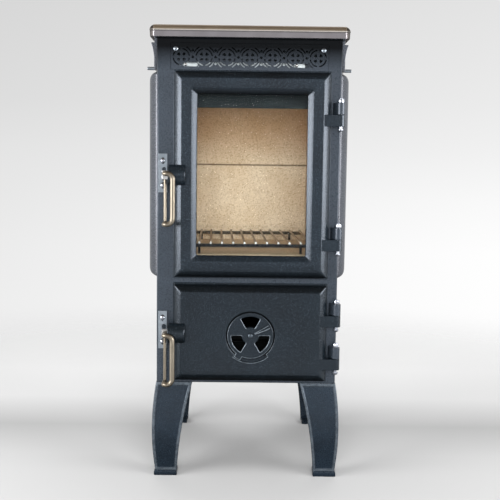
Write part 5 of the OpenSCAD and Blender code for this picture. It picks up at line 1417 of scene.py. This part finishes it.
# glossy rays see the floor near the stove almost black: painted shade in reflections
paintedShadeMirrored = put("ShaderNodeLightPath")["Is Glossy Ray"] * spreadOf(reach, 0.9, 0, *floorForm["mirrored"], True)
shader.take({"Base Color": blendOf(paintedShadeMirrored, tone, plainGrey(0.02)), "Roughness": 0.9, "Specular IOR Level": 0.1})
mixSurface(spreadOf(reach, 0, 1, *floorForm["fade"], True), shader, put("ShaderNodeBsdfTransparent"))
floorMesh.materials.append(finishes["paleFloor"])

# World: (elevation, grey level) of the backdrop behind the stove's left and right, seen by the camera only
backLeft = [(-22, 181), (-18.6, 197), (-15.7, 214), (-12.6, 235), (-9.45, 238), (-6.2, 236), (0, 228), (3, 221),
            (10, 214)]
backRight = [(-22, 188), (-18.6, 207), (-15.7, 229), (-12.6, 250), (-9.45, 254), (-6.2, 254), (-3, 249), (0, 241),
             (3, 235), (10, 226)]
fillLight = 0.40
roomForm = {"across": (-0.26, 0.26), "front": (-0.85, 0.0), "above": (0.26, 0.52), "below": (-0.40, -0.10)}
world = scene.world = bpy.data.worlds.new("studio")
world.use_nodes = True
desk["tree"] = world.node_tree
world.node_tree.nodes.clear()
parts = put("ShaderNodeSeparateXYZ", {0: put("ShaderNodeTexCoord")["Generated"]})
rise = spreadOf(parts["Z"], 0, 1, -0.5, 0.5)


def backdrop(stops):
    return rampOf(rise, [(0.5 + math.sin(math.radians(at)), "#" + "%02x" % value * 3) for at, value in stops])


across = spreadOf(parts["X"], 0, 1, *roomForm["across"])
seen = put("ShaderNodeBackground", {"Color": blendOf(across, backdrop(backLeft), backdrop(backRight))})
# What glossy parts see: pale walls beside and behind, a dim brown room above, a grey one in front
aside = spreadOf(parts["Y"], 0.95, 1.0, *roomForm["front"], True)
above = spreadOf(parts["Z"], 1.0, 0.0, *roomForm["above"], True)
below = spreadOf(parts["Z"], 0.15, 1.0, *roomForm["below"], True)
walls = aside * below
room = blendOf(above, "#8f8272", put("ShaderNodeCombineColor", {0: walls, 1: walls, 2: walls}))
gloss = put("ShaderNodeBackground", {"Color": room})
soft = spreadOf(parts["Z"], fillLight, fillLight * 0.4, 0.1, 0.8, True)
fill = put("ShaderNodeBackground", {"Color": (1, 1, 1, 1), "Strength": soft})
ray = put("ShaderNodeLightPath")
inner = put("ShaderNodeMixShader", {0: ray["Is Glossy Ray"], 1: fill, 2: gloss})
through = ray["Is Transmission Ray"] * mathOf("LESS_THAN", ray["Ray Depth"], 3.5)
outer = put("ShaderNodeMixShader", {0: mathOf("MAXIMUM", ray["Is Camera Ray"], through), 1: inner, 2: seen})
put("ShaderNodeOutputWorld", {"Surface": outer})

softboxes = {  # place, aim, width, height, watts, whether glossy parts mirror it
    "frontBox": ((0.1, -2.3, 1.12), (0, 0.1, 0.55), 1.3, 0.9, 46.0, False),
    "leftBox": ((-1.55, -1.0, 0.68), (0, -0.15, 0.6), 1.4, 0.75, 44.0, True),
    "rightBox": ((1.55, -1.0, 0.68), (0, -0.15, 0.6), 1.4, 0.75, 36.0, True),
    "lowBox": ((0, -2.2, 0.5), (0, 0.1, 0.62), 0.7, 0.5, 12.0, False),
    "backBox": ((0, 1.3, 2.1), (0, 0.6, 0), 2.4, 1.0, 28.0, True),
}
for name, (place, aim, width, height, watts, mirrored) in softboxes.items():
    light = bpy.data.lights.new(name, "AREA")
    light.shape = "RECTANGLE"
    light.size, light.size_y, light.energy = width, height, watts
    lamp = linked(name, light)
    lamp.visible_glossy = mirrored
    lamp.location = place
    lamp.rotation_euler = (Vector(aim) - Vector(place)).to_track_quat("-Z", "Y").to_euler()

view = {"lens": 64.8, "sensor": 36.0, "down": 6.273, "right": 0.529, "roll": 0.7336,
        "place": (-0.011, -1.895825, 0.6401)}
camera = bpy.data.cameras.new("camera")
camera.lens = view["lens"]
camera.sensor_width = view["sensor"]
eye = linked("camera", camera)
turns = (("Z", -view["right"]), ("X", 90 - view["down"]), ("Z", view["roll"]))
turn, tilt, roll = [Matrix.Rotation(math.radians(angle), 4, axis) for axis, angle in turns]
eye.matrix_world = Matrix.Translation(view["place"]) @ turn @ tilt @ roll
scene.camera = eye
scene.view_settings.view_transform = "Standard"
print("floor, light and camera")

sizes = {"cad": [list(v) for v in cadBox], "visual": [list(v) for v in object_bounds()]}
print("size", sizes)
